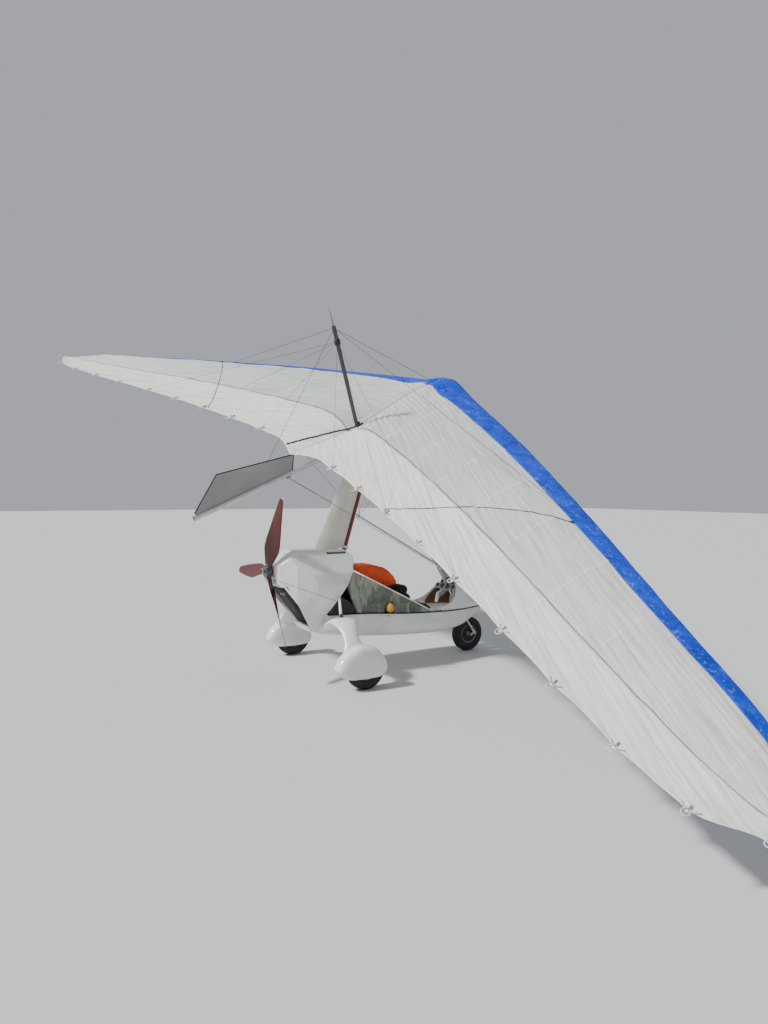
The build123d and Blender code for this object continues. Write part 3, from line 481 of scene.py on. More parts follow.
def ringShell(rings, closed=True, caps=True, shape=None):
    # One ring, extruded from each section to the next
    shape = shape or bmesh.new()
    ring = [shape.verts.new(spot) for spot in rings[0]]
    edges = [shape.edges.new(pair) for pair in zip(ring, ring[1:] + ring[:1] if closed else ring[1:])]
    if caps:
        bmesh.ops.contextual_create(shape, geom=edges)
    for section in rings[1:]:
        made = bmesh.ops.extrude_edge_only(shape, edges=edges)["geom"]
        edges = [item for item in made if isinstance(item, bmesh.types.BMEdge)]
        follow = {}
        for vert in (item for item in made if isinstance(item, bmesh.types.BMVert)):
            beside = (edge.other_vert(vert) for edge in vert.link_edges)
            follow[next(other for other in beside if other in ring)] = vert
        ring = [follow[vert] for vert in ring]
        for vert, spot in zip(ring, section):
            vert.co = spot
    if caps:
        bmesh.ops.contextual_create(shape, geom=edges)
        faceOut(shape)
    return shape


def tubeRings(points, radius, girth=10):
    # Rings round a line, turned as little as possible from one to the next; radius is one number or one each
    radii = radius if hasattr(radius, "__len__") else [radius] * len(points)
    ways = []
    for index in range(len(points)):
        before, after = points[max(index - 1, 0)], points[min(index + 1, len(points) - 1)]
        ways.append((after - before).normalized())
    across = ways[0].orthogonal().normalized()
    rings = []
    for spot, way, size in zip(points, ways, radii):
        across = (across - way * across.dot(way)).normalized()
        other = way.cross(across)
        rings.append([spot + around(across, other, angle) * size for angle in turns(girth)])
    return rings


def turned(base, way, rows):
    # A run along way from the base. Columns: distance, radius
    return [base + way * distance for distance, size in rows], [size for distance, size in rows]


def tubes(name, runs, finish, body="airframe", girth=10, replaced=()):
    # Each run is a list of points and a radius, or one radius a point
    shape = bmesh.new()
    for points, radius in runs:
        ringShell(tubeRings(points, radius, girth), shape=shape)
    return addPiece(name, shape, finish, body, replaced)


def ribbon(name, points, up, width, height, finish, body="wing", slotName=None):
    # A flat strip along the points
    rings = []
    for index, spot in enumerate(points):
        along = (points[min(index + 1, len(points) - 1)] - points[max(index - 1, 0)]).normalized()
        across = along.cross(up).normalized() * width / 2
        rings.append([spot - across, spot - across + up * height, spot + across + up * height, spot + across])
    return addPiece(name, ringShell(rings), finish, body, smooth=False)


def rod(start, end, radius, girth):
    return ringShell(tubeRings([start, end], radius, girth))


def drum(centre, way, radius, length, girth=64):
    start = centre - way * length / 2
    return rod(start, start + way * length, radius, girth)


def prism(outline, half):
    # A side-view outline (x, z) drawn out to both sides along y
    return ringShell([[trikePoint(x, y, z) for x, z in outline] for y in (-half, half)])


def cutOff(shape, spot, way, close=False):
    # Keeps what lies behind the plane
    cut = bmesh.ops.bisect_plane(
        shape, geom=shape.verts[:] + shape.edges[:] + shape.faces[:],
        plane_co=spot, plane_no=way, dist=1e-6, clear_outer=True,
    )
    edges = [item for item in cut["geom_cut"] if isinstance(item, bmesh.types.BMEdge)]
    if close and edges:
        bmesh.ops.edgeloop_fill(shape, edges=edges)


# Wing cloth, shaped in the wing frame

sail = {
    # Columns: y, leading edge x and z, trailing edge x and z, camber, in metres
    "stations": [
        (0.0, 1.312, 0.092, -0.985, 0.200, 0.075),
        (0.18, 1.250, 0.084, -0.930, 0.226, 0.130),
        (0.48, 1.130, 0.072, -0.912, 0.246, 0.173),
        (1.7, 0.632, 0.078, -1.105, 0.281, 0.165),
        (2.874, 0.070, 0.101, -1.362, 0.316, 0.135),
        (4.0, -0.512, 0.128, -1.640, 0.350, 0.105),
        (4.85, -0.955, 0.148, -1.800, 0.375, 0.070),
        (5.18, -1.270, 0.178, -1.690, 0.372, 0.026),
    ],
    "battens": [0.0, 0.68, 1.20, 1.72, 2.26, 2.80, 3.40, 3.92, 4.42, 4.86, 5.18],
    "split": 0.198,  # share of the chord that the blue sleeve covers
    "overlap": 0.004,
    "double": 0.68,  # where the under cloth ends
    # Height of the cloth over the chord: share, times the camber, plus metres
    "upper": [
        (0.0, 0.30, 0.004), (0.17, 0.86, 0.006), (0.38, 1.0, 0.004),
        (0.68, 0.58, 0), (0.84, 0.24, 0), (1.0, 0, 0),
    ],
    "under": [(0.17, 0, -0.014), (0.425, 0.14, -0.014), (0.68, 0.58, -0.006)],
    "battenRidge": 0.004,
    "battenWidth": 0.009,
    "sag": 0.006,
    "scallop": 0.019,
    "rootRipple": 0.0125,
    "rippleLength": 0.062,
    "rippleSlant": 0.42,
    "rippleFade": 0.50,
    "rippleReach": (-0.30, 0.0, 0.9, 1.15),  # x where they begin, are full, weaken and end
    "creaseDepth": 0.0048,
    "creaseWay": (0.89, 0.46),
    "creases": [(26, 1.8, 2.0, 1.0), (60, 3.5, 7.0, 0.6)],
    "groove": (0.005, 0.006),  # depth and width behind the under cloth's end
    # Height that the nose cap and the keel give the root: share of the chord, metres
    "rootHeights": [
        (0.0, 0.0), (0.03, 0.062), (0.06, 0.096), (0.15, 0.098), (0.30, 0.060), (0.47, 0.0),
        (0.63, -0.045), (0.80, -0.028), (1.0, 0.0),
    ],
    "rootReach": 0.17,
    "tipPoint": (-1.35, 5.35),
    "tipReach": (4.2, 5.1),
    "tipFold": 0.013,
    "tipClose": 0.11,
}
sleeve = {
    "crease": 0.004,
    "creases": [(5, 9, 1.0, 1.0), (16, 14, 5.0, 0.5)],
    # Half height at the nose: share of the camber, plus metres
    "fullness": (0.33, 0.020),
    "lap": 0.002,  # how far it lies over the sail
}
clothStart = sail["split"] - sail["overlap"]
ribCache = {}


def ribAt(y):
    key = round(abs(y), 5)
    if key not in ribCache:
        leX, leZ, teX, teZ, camber = (rowValue(sail["stations"], key, column) for column in range(1, 6))
        chord = math.hypot(leX - teX, teZ - leZ)
        ribCache[key] = (leX, leZ, (teX - leX) / chord, (teZ - leZ) / chord, chord, camber)
    return ribCache[key]


def clothSpot(y, share, height):
    leX, leZ, alongX, alongZ, chord = ribAt(y)[:5]
    reach = chord * share
    return Vector((leX + alongX * reach + alongZ * height, y, leZ + alongZ * reach - alongX * height))


def clothHeight(y, share, rows):
    camber = ribAt(y)[5]
    return smoothValue([(where, camber * factor + extra) for where, factor, extra in rows], share)


def rootHeight(y, share):
    return smoothValue(sail["rootHeights"], share) * bell(y, sail["rootReach"])


def battenPlace(y):
    # Counts battens: a whole number on each one
    marks = sail["battens"]
    for index in range(len(marks) - 1):
        if abs(y) <= marks[index + 1]:
            return index + (abs(y) - marks[index]) / (marks[index + 1] - marks[index])
    return len(marks) - 1.0


def relief(y, share, under=False):
    # How far the cloth stands off its smooth shape, and how far its edge is drawn forward
    out, x = abs(y), clothSpot(y, share, 0).x
    place = battenPlace(y)
    gap = place - math.floor(place)
    nearest = min(abs(out - mark) for mark in sail["battens"][1:])
    rise = -sail["sag"] * math.sin(math.pi * gap) * (0.25 + share)
    rise += sail["battenRidge"] * bell(nearest, sail["battenWidth"])
    far, near = sail["creaseWay"]
    rise += sail["creaseDepth"] * ripples(x * far + out * near, out * far - x * near, sail["creases"])
    if under:
        return rise * 0.6, 0
    rise += rootHeight(y, share)
    # Ripples at the root fade outwards, at both its ends and over the keel
    begin, full, weaken, end = sail["rippleReach"]
    centre = math.exp(-out / sail["rippleFade"]) * step(begin, full, x) * (1 - step(weaken, end, x))
    centre *= 0.45 + 0.55 * step(0.0, 0.10, out)
    phase = 2 * math.pi * (x + sail["rippleSlant"] * out) / sail["rippleLength"]
    rise += sail["rootRipple"] * centre * math.sin(phase)
    # Folds at the tip run out from one point
    tip = step(*sail["tipReach"], out)
    tipX, tipY = sail["tipPoint"]
    bearing = math.atan2(x - tipX, tipY - out)
    rise += sail["tipFold"] * tip * noise.noise(Vector((bearing * 5.5, (tipY - out) * 0.7, 4.0)))
    depth, width = sail["groove"]
    rise -= depth * bell(share - sail["double"] - width, width) * (1 - tip)
    drawn = sail["scallop"] * math.sin(math.pi * gap) * step(0.80, 1.0, share) * step(0.1, 0.3, out)
    return rise, drawn


def spanOf(u):
    # Rows are closer together half way out
    return sail["stations"][-1][0] * (u + 0.035 * math.sin(2 * math.pi * u))


def closing(y):
    # The upper and the lower cloth meet at the tip
    left = min((sail["stations"][-1][0] - y) / sail["tipClose"], 1)
    return math.sqrt(max(1 - (1 - left) ** 2, 0))


# Each of these gives the place in the wing frame and the pairs for the two UV maps, panel and plan


def topSpot(u, v):
    y = spanOf(u)
    share = clothStart + (1 - clothStart) * v
    rise, drawn = relief(y, share)
    place = clothSpot(y, share, (clothHeight(y, share, sail["upper"]) + rise) * closing(y))
    place.x += drawn
    return place, (battenPlace(y), share), (place.x, y)


def underSpot(u, v):
    y = spanOf(u)
    share = clothStart + (sail["double"] - clothStart) * v
    rise = relief(y, share, under=True)[0]
    height = clothHeight(y, share, sail["under"]) + rise * (1 - v ** 6) + min(rootHeight(y, share), 0)
    place = clothSpot(y, share, height * closing(y))
    return place, (battenPlace(y), share), (place.x, y)


def sleeveKnots(y):
    # Round the pocket from its top rear edge over the nose to its bottom rear edge: share, height
    chord, camber = ribAt(y)[4:]
    split, lap, (factor, extra) = sail["split"], sleeve["lap"], sleeve["fullness"]
    full = factor * camber + extra
    back = full / chord * 0.75
    return [
        (split + lap, clothHeight(y, split, sail["upper"]) + lap + rootHeight(y, split)),
        (split * 0.5, 0.66 * camber + 0.014 + rootHeight(y, split * 0.5)),
        (back, full + rootHeight(y, back)),
        (0.0, 0.0),
        (back, -0.7 * full),
        (split * 0.45, -0.35 * full - 0.012),
        (split + lap, -0.015),
    ]


def sleeveSpot(u, v):
    y = spanOf(u)
    knots = sleeveKnots(y)
    share, height = smoothRow(range(len(knots)), knots, v * (len(knots) - 1))
    place = clothSpot(y, share, height * closing(y))
    crease = sleeve["crease"] * ripples(y, v, sleeve["creases"]) * math.sin(math.pi * v)
    place.z += crease
    place.x += crease * 0.5
    return place, (y, v), (place.x, y)


# Columns: piece, finish, spots, steps over span and chord, wall, flat size, node
cloths = [
    ("sailTop", "sailCloth", topSpot, (250, 112), 0.0015, (5.30, 2.45), "sail"),
    ("sailUnder", "sailCloth", underSpot, (120, 44), 0.0015, (5.30, 1.40), "sail"),
    ("sleeve", "blueCloth", sleeveSpot, (170, 34), 0.002, (5.30, 1.00), "leading_edge"),
]
sailLooks = {
    # Painted light: grey is the cloth in painted shade where the under cloth doubles it, cream is the single
    # cloth painted as lit through from behind
    "shadedGrey": [(0.3, (0.50, 0.53, 0.52)), (0.5, (0.56, 0.58, 0.55)), (0.7, (0.60, 0.59, 0.56))],
    "backlitCream": [(0.3, (0.80, 0.79, 0.74)), (0.7, (0.86, 0.85, 0.80))],
    "front": (0.72, 0.73, 0.66, 1),
    "outer": (0.82, 0.82, 0.78, 1),
    "tape": (0.88, 0.87, 0.78, 1),
    "shadow": (0.11, 0.12, 0.12, 1),
    "seam": (0.33, 0.34, 0.33, 1),
    # Painted shade in the crease hollows
    "creaseShade": (0.22, 0.23, 0.22, 1),
    "creaseTurn": -0.48,
    "creaseScale": (34, 1.6, 1),
    # Columns: share of the chord, half width, strength
    "seams": [(0.984, 0.0014, 0.45), (0.966, 0.001, 0.3), (0.206, 0.0012, 0.5)],
    "blue": [(0.30, (0.002, 0.028, 0.36)), (0.5, (0.003, 0.050, 0.58)), (0.72, (0.012, 0.10, 0.78))],
    "wornBlue": (0.20, 0.38, 0.85, 1),
}


def sailCloth():
    looks, double = sailLooks, sail["double"]
    tree = Tree("sailCloth")
    panel, plan = (tree.add("ShaderNodeUVMap", {"uv_map": name}).outputs[0] for name in ("panel", "plan"))
    batten, share = tree.add("ShaderNodeSeparateXYZ", Vector=panel).outputs[:2]
    # 0 on a batten and 1/2 half way between two
    offBatten = tree.distance(tree.math("FRACT", tree.math("ADD", batten, 0.5)), 0.5)
    tape = tree.spread(offBatten, 0.007, 0.014, 1, 0)
    turnedPlan = tree.mapped(turn=(0, 0, looks["creaseTurn"]), of=plan)
    creases = tree.noise(1, 5, 0.62, tree.mapped(looks["creaseScale"], of=turnedPlan))
    broad = tree.noise(0.9, 4, 0.6)
    fine = tree.noise(320, 2, 0.5)
    # Painted light: just behind the under cloth's end, the colour turns from the double cloth's painted shade
    # to the painted light through the single cloth
    rear = tree.spread(share, double - 0.002, double + 0.004, 0, 1)
    colour = tree.mix(rear, tree.ramp(broad, looks["shadedGrey"]), tree.ramp(broad, looks["backlitCream"]))
    colour = tree.mix(tree.spread(share, 0.20, 0.27, 0.55, 0), colour, looks["front"])
    colour = tree.mix(tree.spread(batten, 3.0, 8.0, 0, 0.55), colour, looks["outer"])
    colour = tree.mix(tree.math("MULTIPLY", tape, 0.7), colour, looks["tape"])
    wobble = tree.spread(creases, 0.35, 0.65, 0.0028, 0.0065)
    shadow = tree.math("LESS_THAN", tree.distance(share, double + 0.003), wobble)
    colour = tree.mix(tree.math("MULTIPLY", shadow, 0.8), colour, looks["shadow"])
    for where, width, depth in looks["seams"]:
        line = tree.math("LESS_THAN", tree.distance(share, where), width)
        colour = tree.mix(tree.math("MULTIPLY", line, depth), colour, looks["seam"])
    # Painted shade: darker where the crease pattern that also bumps the cloth is low
    colour = tree.mix(tree.spread(creases, 0.28, 0.52, 0.42, 0), colour, looks["creaseShade"])
    normal = tree.bump(fine, 0.12, 0.0008, tree.bump(creases, 0.9, 0.010))
    return tree.finish(colour, None, normal, Roughness=0.62, Sheen_Weight=0.15, Specular_IOR_Level=0.35)


def blueCloth():
    tree = Tree("blueCloth")
    streaks = tree.noise(16, 8, 0.72, twist=2.2)
    colour = tree.ramp(tree.noise(5, 7, 0.68), sailLooks["blue"])
    colour = tree.mix(tree.spread(streaks, 0.55, 0.63, 0, 0.55), colour, sailLooks["wornBlue"])
    normal = tree.bump(tree.noise(300, 2, 0.5), 0.15, 0.0008, tree.bump(streaks, 0.5, 0.004))
    return tree.finish(colour, None, normal, Roughness=0.55, Specular_IOR_Level=0.2)


finishes["sailCloth"] = sailCloth()
finishes["blueCloth"] = blueCloth()


def clothGrid(name, side, steps, spot, finish, node):
    # A sheet over the span and the chord
    found = []

    def place(u, v):
        found.append(spot(u, v))
        x, y, z = found[-1][0]
        return x, y * side, z

    shape = gridShape(*steps, place)
    shape.verts.index_update()
    for column, layerName in enumerate(("panel", "plan"), 1):
        layer = shape.loops.layers.uv.new(layerName)
        for face in shape.faces:
            for loop in face.loops:
                loop[layer].uv = found[loop.vert.index][column]
    shape.normal_update()
    if sum(face.normal.z for face in shape.faces) < 0:
        flip(shape)
    shape.transform(wingMatrix)
    return addPiece(name, shape, finish, "wing", [node])


def makeSails():
    for name, side in leftRight:
        for label, finish, spot, steps, wall, flat, node in cloths:
            piece = clothGrid(f"{label}.{name}", side, steps, spot, finish, f"{node}_{name}")
            solidify(piece, wall)


makeSails()
print("stage: sails and sleeves")

# Cowl: one soft-edged hull, cut by its seam into two shells

cowl = {
    "side": [
        (-0.610, 0.960), (-0.610, 1.140), (-0.489, 1.238), (-0.405, 1.283), (0.130, 1.283),
        (0.198, 1.217), (0.163, 1.070), (-0.140, 0.545), (-0.202, 0.442), (-0.245, 0.442),
    ],
    "front": [(0.150, 1.288), (0.235, 1.213), (0.319, 1.050), (0.343, 0.930), (0.308, 0.800), (0.130, 0.438)],
    "plan": [(-0.625, 0.165), (-0.450, 0.274), (-0.250, 0.333), (0.100, 0.343), (0.215, 0.280)],
    "middle": (-0.2, 0, 0.9),
    "voxel": 0.0065,
    "evenings": 6,
    "wall": 0.006,
    "seam": ((-0.700, 1.029), (0.220, 0.673)),
    "seamGap": 0.0035,
    "slot": [(-0.592, 0.930), (-0.302, 0.520), (-0.278, 0.520), (-0.562, 0.930)],
    # Behind the slot: x, half width, z
    "liner": [(-0.552, 0.235, 0.945), (-0.447, 0.215, 0.800), (-0.337, 0.175, 0.640), (-0.253, 0.150, 0.520)],
    "linerWall": 0.003,
    "vent": (-0.090, 0.125, 0.193, 1.2500),  # x from and to, y, z
    "ventUp": (0.662, 0.749),  # the flank's slope: y, z
    "ventSize": (0.026, 0.003),
    "ventBars": 6,
    "barEnds": [(-0.009, 0.013), (0.012, -0.006)],  # outward and up from the vent
    "barRadius": 0.002,
    "shaftHole": 0.040,
    "pylonHole": 0.031,
    "pylonFoot": (-0.012, 0, 0.510),
}


def cowlHull():
    shape = bmesh.new()
    bmesh.ops.create_cube(shape, size=4, matrix=Matrix.Translation(trikePoint(0, 0, 0.9)))
    middle = Vector(cowl["middle"])
    outlines = [
        [(x, 0, z) for x, z in cowl["side"]],
        [(0, y, z) for y, z in cowl["front"]] + [(0, -y, z) for y, z in cowl["front"][::-1]],
        [(x, y, 0) for x, y in cowl["plan"]] + [(x, -y, 0) for x, y in cowl["plan"][::-1]],
    ]
    for outline in outlines:
        through = Vector([0 if any(abs(spot[axis]) > 1e-9 for spot in outline) else 1 for axis in range(3)])
        flat = middle - through * middle.dot(through)
        for near, far in zip(outline, outline[1:] + outline[:1]):
            near, far = Vector(near), Vector(far)
            way = (far - near).cross(through).normalized()
            if way.dot(flat - near) > 0:
                way = -way
            cutOff(shape, near + trikeShift, way, close=True)
    bmesh.ops.dissolve_limit(shape, angle_limit=0.01, verts=shape.verts[:], edges=shape.edges[:])
    return shape


def linerSpot(u, v):
    x, half, z = cowl["liner"][round(v * (len(cowl["liner"]) - 1))]
    return trikePoint(x, half * 2 * (u - 0.5), z)


def makeCowls():
    hull = newObject("cowlHull", newMesh("cowlHull", cowlHull()))
    blend3d(hull, cowl["voxel"], cowl["evenings"])
    start, end = [Vector((x, 0, z)) + trikeShift for x, z in cowl["seam"]]
    seamWay = Vector((start.z - end.z, 0, end.x - start.x)).normalized()
    for name, side in (("upper", 1), ("lower", -1)):
        shape = bmesh.new()
        shape.from_mesh(hull.data)
        cutOff(shape, start + seamWay * side * cowl["seamGap"] / 2, seamWay * -side)
        piece = addPiece(f"{name}Cowl", shape, "gelcoat", replaced=[f"{name}_cowl"])
        solidify(piece, cowl["wall"])
        settle(piece)
        cutters = [drum(propCentre, Vector((1, 0, 0)), cowl["shaftHole"], 0.4)]
        if side > 0:
            cutters.append(rod(trikePoint(*cowl["pylonFoot"]), pitchPivot, cowl["pylonHole"], 48))
        cutAway(piece, cutters + [prism(cowl["slot"], 0.6)])
    bpy.data.objects.remove(hull)
    liner = addPiece(
        "slotLiner", gridShape(1, len(cowl["liner"]) - 1, linerSpot), "blackCloth"
    )
    solidify(liner, cowl["linerWall"])


def makeVents():
    x0, x1, half, z = cowl["vent"]
    for name, side in leftRight:
        points = [trikePoint(x, side * half, z) for x in between(x0, x1, 13)]
        up = Vector((0, side * cowl["ventUp"][0], cowl["ventUp"][1]))
        ribbon(f"cowlVent.{name}", points, up, *cowl["ventSize"], "blackPlastic", "airframe")
        bars = []
        for x in between(x0, x1, cowl["ventBars"] + 2)[1:-1]:
            ends = [trikePoint(x, side * (half + out), z + rise) for out, rise in cowl["barEnds"]]
            bars.append((ends, cowl["barRadius"]))
        tubes(f"ventBars.{name}", bars, "gelcoat", girth=6)


makeCowls()
makeVents()
print("stage: cowls")

# Legs and spats: each side is one moulding, from the shoulder down the neck to the spat

spat = {
    "radius": 0.211,
    "wheelY": 0.836,
    "wheelZ": 0.200,
    # Side view from the tail over the top, in shares of the radius about the wheel
    "outline": [
        (-1.53, 0.07), (-1.40, 0.42), (-1.14, 0.70), (-0.80, 0.94), (-0.37, 1.09), (0.10, 1.06), (0.48, 0.91),
        (0.80, 0.62), (1.02, 0.30), (1.08, 0.02), (1.04, -0.20), (0.90, -0.36), (0.43, -0.51),
        (-0.30, -0.54), (-0.85, -0.44), (-1.28, -0.20),
    ],
    "middle": (-0.237, 0.15),
    # Columns: distance from the wheel's middle plane, scale
    "across": [
        (-0.091, 0.50), (-0.088, 0.66), (-0.080, 0.80), (-0.064, 0.92), (-0.036, 0.985), (0, 1.0),
        (0.036, 0.985), (0.064, 0.92), (0.080, 0.80), (0.088, 0.66), (0.091, 0.50),
    ],
    "cavityRadius": 0.206,
    "cavityHalf": 0.058,
    "cavityRound": 0.034,
    "floor": 0.118,
    "steps": 72,
    "voxel": 0.007,
    "evenings": 16,
}
leg = {
    # Columns: y, z, centre x, chord, thickness, lean in degrees
    "rows": [
        (0.215, 0.490, -0.020, 0.270, 0.090, -50),
        (0.430, 0.588, -0.055, 0.290, 0.082, -16),
        (0.500, 0.600, -0.064, 0.284, 0.081, 2),
        (0.560, 0.596, -0.074, 0.268, 0.080, 18),
        (0.650, 0.560, -0.086, 0.208, 0.076, 45),
        (0.720, 0.505, -0.098, 0.172, 0.074, 60),
        (0.775, 0.440, -0.100, 0.186, 0.080, 74),
        (0.806, 0.388, -0.084, 0.262, 0.092, 84),
        (0.824, 0.345, -0.068, 0.350, 0.108, 88),
        (0.836, 0.290, -0.056, 0.400, 0.120, 90),
    ],
    "steps": 44,
    "girth": 40,
}


def outlineLoop(points, count):
    # A closed smooth loop through 2-D points
    size = len(points)
    loop = []
    for index in range(count):
        where = size + size * index / count
        marks = range(int(where) - 2, int(where) + 4)
        loop.append(smoothRow(marks, [points[mark % size] for mark in marks], where))
    return loop


def spatRings(side):
    middleX, middleZ = spat["middle"]
    loop = outlineLoop(spat["outline"], spat["steps"])
    return [
        [
            trikePoint(
                spat["radius"] * (middleX + (across - middleX) * scale),
                side * (spat["wheelY"] + shift),
                spat["wheelZ"] + spat["radius"] * (middleZ + (up - middleZ) * scale),
            )
            for across, up in loop
        ]
        for shift, scale in spat["across"]
    ]


def legRings(side):
    rows = leg["rows"]
    rings = []
    for where in between(0, len(rows) - 1, leg["steps"]):
        y, z, x, chord, thickness, lean = smoothRow(range(len(rows)), rows, where)
        turn = math.radians(lean)
        across = Vector((0, side * math.sin(turn), math.cos(turn)))
        ring = []
        for angle in turns(leg["girth"]):
            reach = Vector((math.cos(angle) * chord / 2, 0, 0)) + across * math.sin(angle) * thickness / 2
            ring.append(trikePoint(x, side * y, z) + reach)
        rings.append(ring)
    return rings


def makeLegs():
    for name, side in leftRight:
        shape = ringShell(spatRings(side), shape=ringShell(legRings(side)))
        piece = addPiece(f"legSpat.{name}", shape, "gelcoat", replaced=["legs", "spats"])
        blend3d(piece, spat["voxel"], spat["evenings"])
        hub = trikePoint(0, side * spat["wheelY"], spat["wheelZ"])
        cavity = drum(hub, Vector((0, 1, 0)), spat["cavityRadius"], 2 * spat["cavityHalf"], 96)
        # Rounded like the tyre, so that it stays inside the skin
        rims = [edge for edge in cavity.edges if len(edge.link_faces) == 2 and edge.calc_face_angle() > 0.8]
        bmesh.ops.bevel(
            cavity, geom=rims, offset=spat["cavityRound"], offset_type="OFFSET", affect="EDGES", segments=5,
            profile=0.5, material=-1,
        )
        below = bmesh.new()
        bmesh.ops.create_cube(below, size=1, matrix=Matrix.Translation((hub.x, hub.y, spat["floor"] - 0.5)))
        cutAway(piece, [cavity, below])


makeLegs()
print("stage: legs and spats")

# Pod and nose deck

pod = {
    # Columns: x, half width at the trim line, half width of the floor, floor z, trim z
    "rows": [
        (-0.112, 0.250, 0.150, 0.411, 0.628),
        (0.300, 0.336, 0.225, 0.372, 0.626),
        (0.800, 0.350, 0.235, 0.334, 0.588),
        (1.325, 0.322, 0.200, 0.312, 0.562),
        (1.610, 0.262, 0.150, 0.338, 0.553),
        (1.830, 0.180, 0.095, 0.407, 0.547),
        (2.000, 0.100, 0.050, 0.480, 0.541),
        (2.110, 0.030, 0.014, 0.512, 0.537),
    ],
    "corner": 0.42,
    "steps": 90,
    "girth": 48,
    "wall": 0.008,
    "archRadius": 0.122,
}
deck = {
    # Columns: x, half width at the trim line, height above it
    "rows": [
        (1.280, 0.323, 0.330),
        (1.540, 0.280, 0.356),
        (1.720, 0.226, 0.330),
        (1.840, 0.176, 0.236),
        (1.990, 0.104, 0.106),
        (2.106, 0.032, 0.018),
    ],
    "shoulder": (0.74, 0.58),
    "edge": [(1.292, 0.602), (1.500, 0.694), (1.612, 0.893)],
    "steps": 70,
    "girth": 56,
    "wall": 0.008,
    "strutHole": 0.024,
}
lining = {
    "reach": (1.46, 1.76, 17),  # x from and to, rings
    "scale": (0.945, 0.95),  # of the deck's width and height
    "ahead": 0.022,  # of the panel
    "wall": 0.002,
    "flat": (1.10, 0.26),
}


def podValue(x, column):
    return rowValue(pod["rows"], x, column)


def mirrorLine(right):
    # From one edge over the middle to the other one
    return right + [Vector((spot.x, -spot.y, spot.z)) for spot in right[-2::-1]]


def podRing(x):
    half, floorHalf, floor, trim = (podValue(x, column) for column in range(1, 5))
    bend = pod["corner"] * (trim - floor)
    knots = [
        (half, trim), (half * 0.99, trim - (trim - floor - bend) * 0.5), (half * 0.965, floor + bend),
        (half * 0.87, floor + bend * 0.32), (floorHalf, floor), (floorHalf * 0.5, floor - 0.001),
        (0, floor - 0.002),
    ]
    line = curvePoints([Vector((x, y, z)) for y, z in knots], pod["girth"] // 2 + 1)
    return [spot + trikeShift for spot in mirrorLine(line)]


def arcThrough(first, second, third, count):
    # Points on the circle through three 2-D points
    (ax, ay), (bx, by), (cx, cy) = first, second, third
    a2, b2, c2 = ax**2 + ay**2, bx**2 + by**2, cx**2 + cy**2
    d = 2 * (ax * (by - cy) + bx * (cy - ay) + cx * (ay - by))
    ux = (a2 * (by - cy) + b2 * (cy - ay) + c2 * (ay - by)) / d
    uy = (a2 * (cx - bx) + b2 * (ax - cx) + c2 * (bx - ax)) / d
    start = math.atan2(ay - uy, ax - ux)
    through, turn = ((math.atan2(y - uy, x - ux) - start) % (2 * math.pi) for x, y in (second, third))
    if through > turn:
        turn -= 2 * math.pi
    radius = math.hypot(ax - ux, ay - uy)
    angles = between(start, start + turn, count)
    return [(ux + radius * math.cos(a), uy + radius * math.sin(a)) for a in angles]


def deckRing(x):
    half, height = (rowValue(deck["rows"], x, column) for column in (1, 2))
    base = podValue(x, 4) + 0.0003
    across, up = deck["shoulder"]
    shoulder = (half * across, base + height * up)
    arc = arcThrough((half, base), shoulder, (0, base + height), deck["girth"] // 2 + 1)
    return [spot + trikeShift for spot in mirrorLine([Vector((x, y, z)) for y, z in arc])]


def moulding(name, style, ringAt, closedEnds, outermost, outward, node):
    # An open shell through rings. Its outermost face, the lowest or the highest, looks outward
    rings = [ringAt(x) for x in between(style["rows"][0][0], style["rows"][-1][0], style["steps"])]
    shape = ringShell(rings, closed=False, caps=False)
    if closedEnds:
        for end in (rings[0], rings[-1]):
            wall = [vert for vert in shape.verts if abs(vert.co.x - end[0].x) < 1e-6]
            bmesh.ops.contextual_create(shape, geom=wall)
    faceOut(shape)
    face = outermost(shape.faces, key=lambda face: face.calc_center_median().z)
    if face.normal.z * outward < 0:
        flip(shape)
    piece = addPiece(name, shape, "gelcoat", replaced=[node])
    solidify(piece, style["wall"])
    settle(piece)
    return piece


def makePod():
    tub = moulding("podTub", pod, podRing, True, min, -1, "pod_tub")
    crown = jointSpot("steering")
    steer = Vector(joints["steering"]["axis"]).normalized()
    cutAway(tub, [rod(crown - steer * 0.2, crown + steer * 0.05, pod["archRadius"], 72)])
    cover = moulding("noseDeck", deck, deckRing, False, max, 1, "nose_deck")
    rim = arcThrough(*deck["edge"], 40)
    low, high = (Vector(corner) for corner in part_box("front_strut"))
    strut = (Vector((high.x, centreY, low.z)), Vector((low.x, centreY, high.z)))
    outline = rim + [(rim[-1][0], 1.2), (0.9, 1.2), (0.9, rim[0][1])]
    cutAway(cover, [prism(outline, 0.6), rod(*strut, deck["strutHole"], 40)])


def makeLining():
    # A brown lining sheet inside the deck ahead of the panel, seen through the leg arches
    wide, high = lining["scale"]
    rings = []
    for x in between(*lining["reach"]):
        base = podValue(x, 4)
        rings.append([
            Vector((spot.x, centreY + (spot.y - centreY) * wide, base + (spot.z - base) * high))
            for spot in deckRing(x)
        ])
    shape = ringShell(rings, closed=False, caps=False)
    (x0, z0), (x1, z1) = deck["edge"][1:]
    cutOff(shape, trikePoint(x0 + lining["ahead"], 0, z0), Vector((z0 - z1, 0, x1 - x0)))
    faceOut(shape)
    piece = addPiece("footwellLining", shape, "brownLining")
    solidify(piece, lining["wall"])


makePod()
makeLining()
print("stage: pod and deck")

# Side screens: a creased clear sheet in a black hem, with a white rail along its top

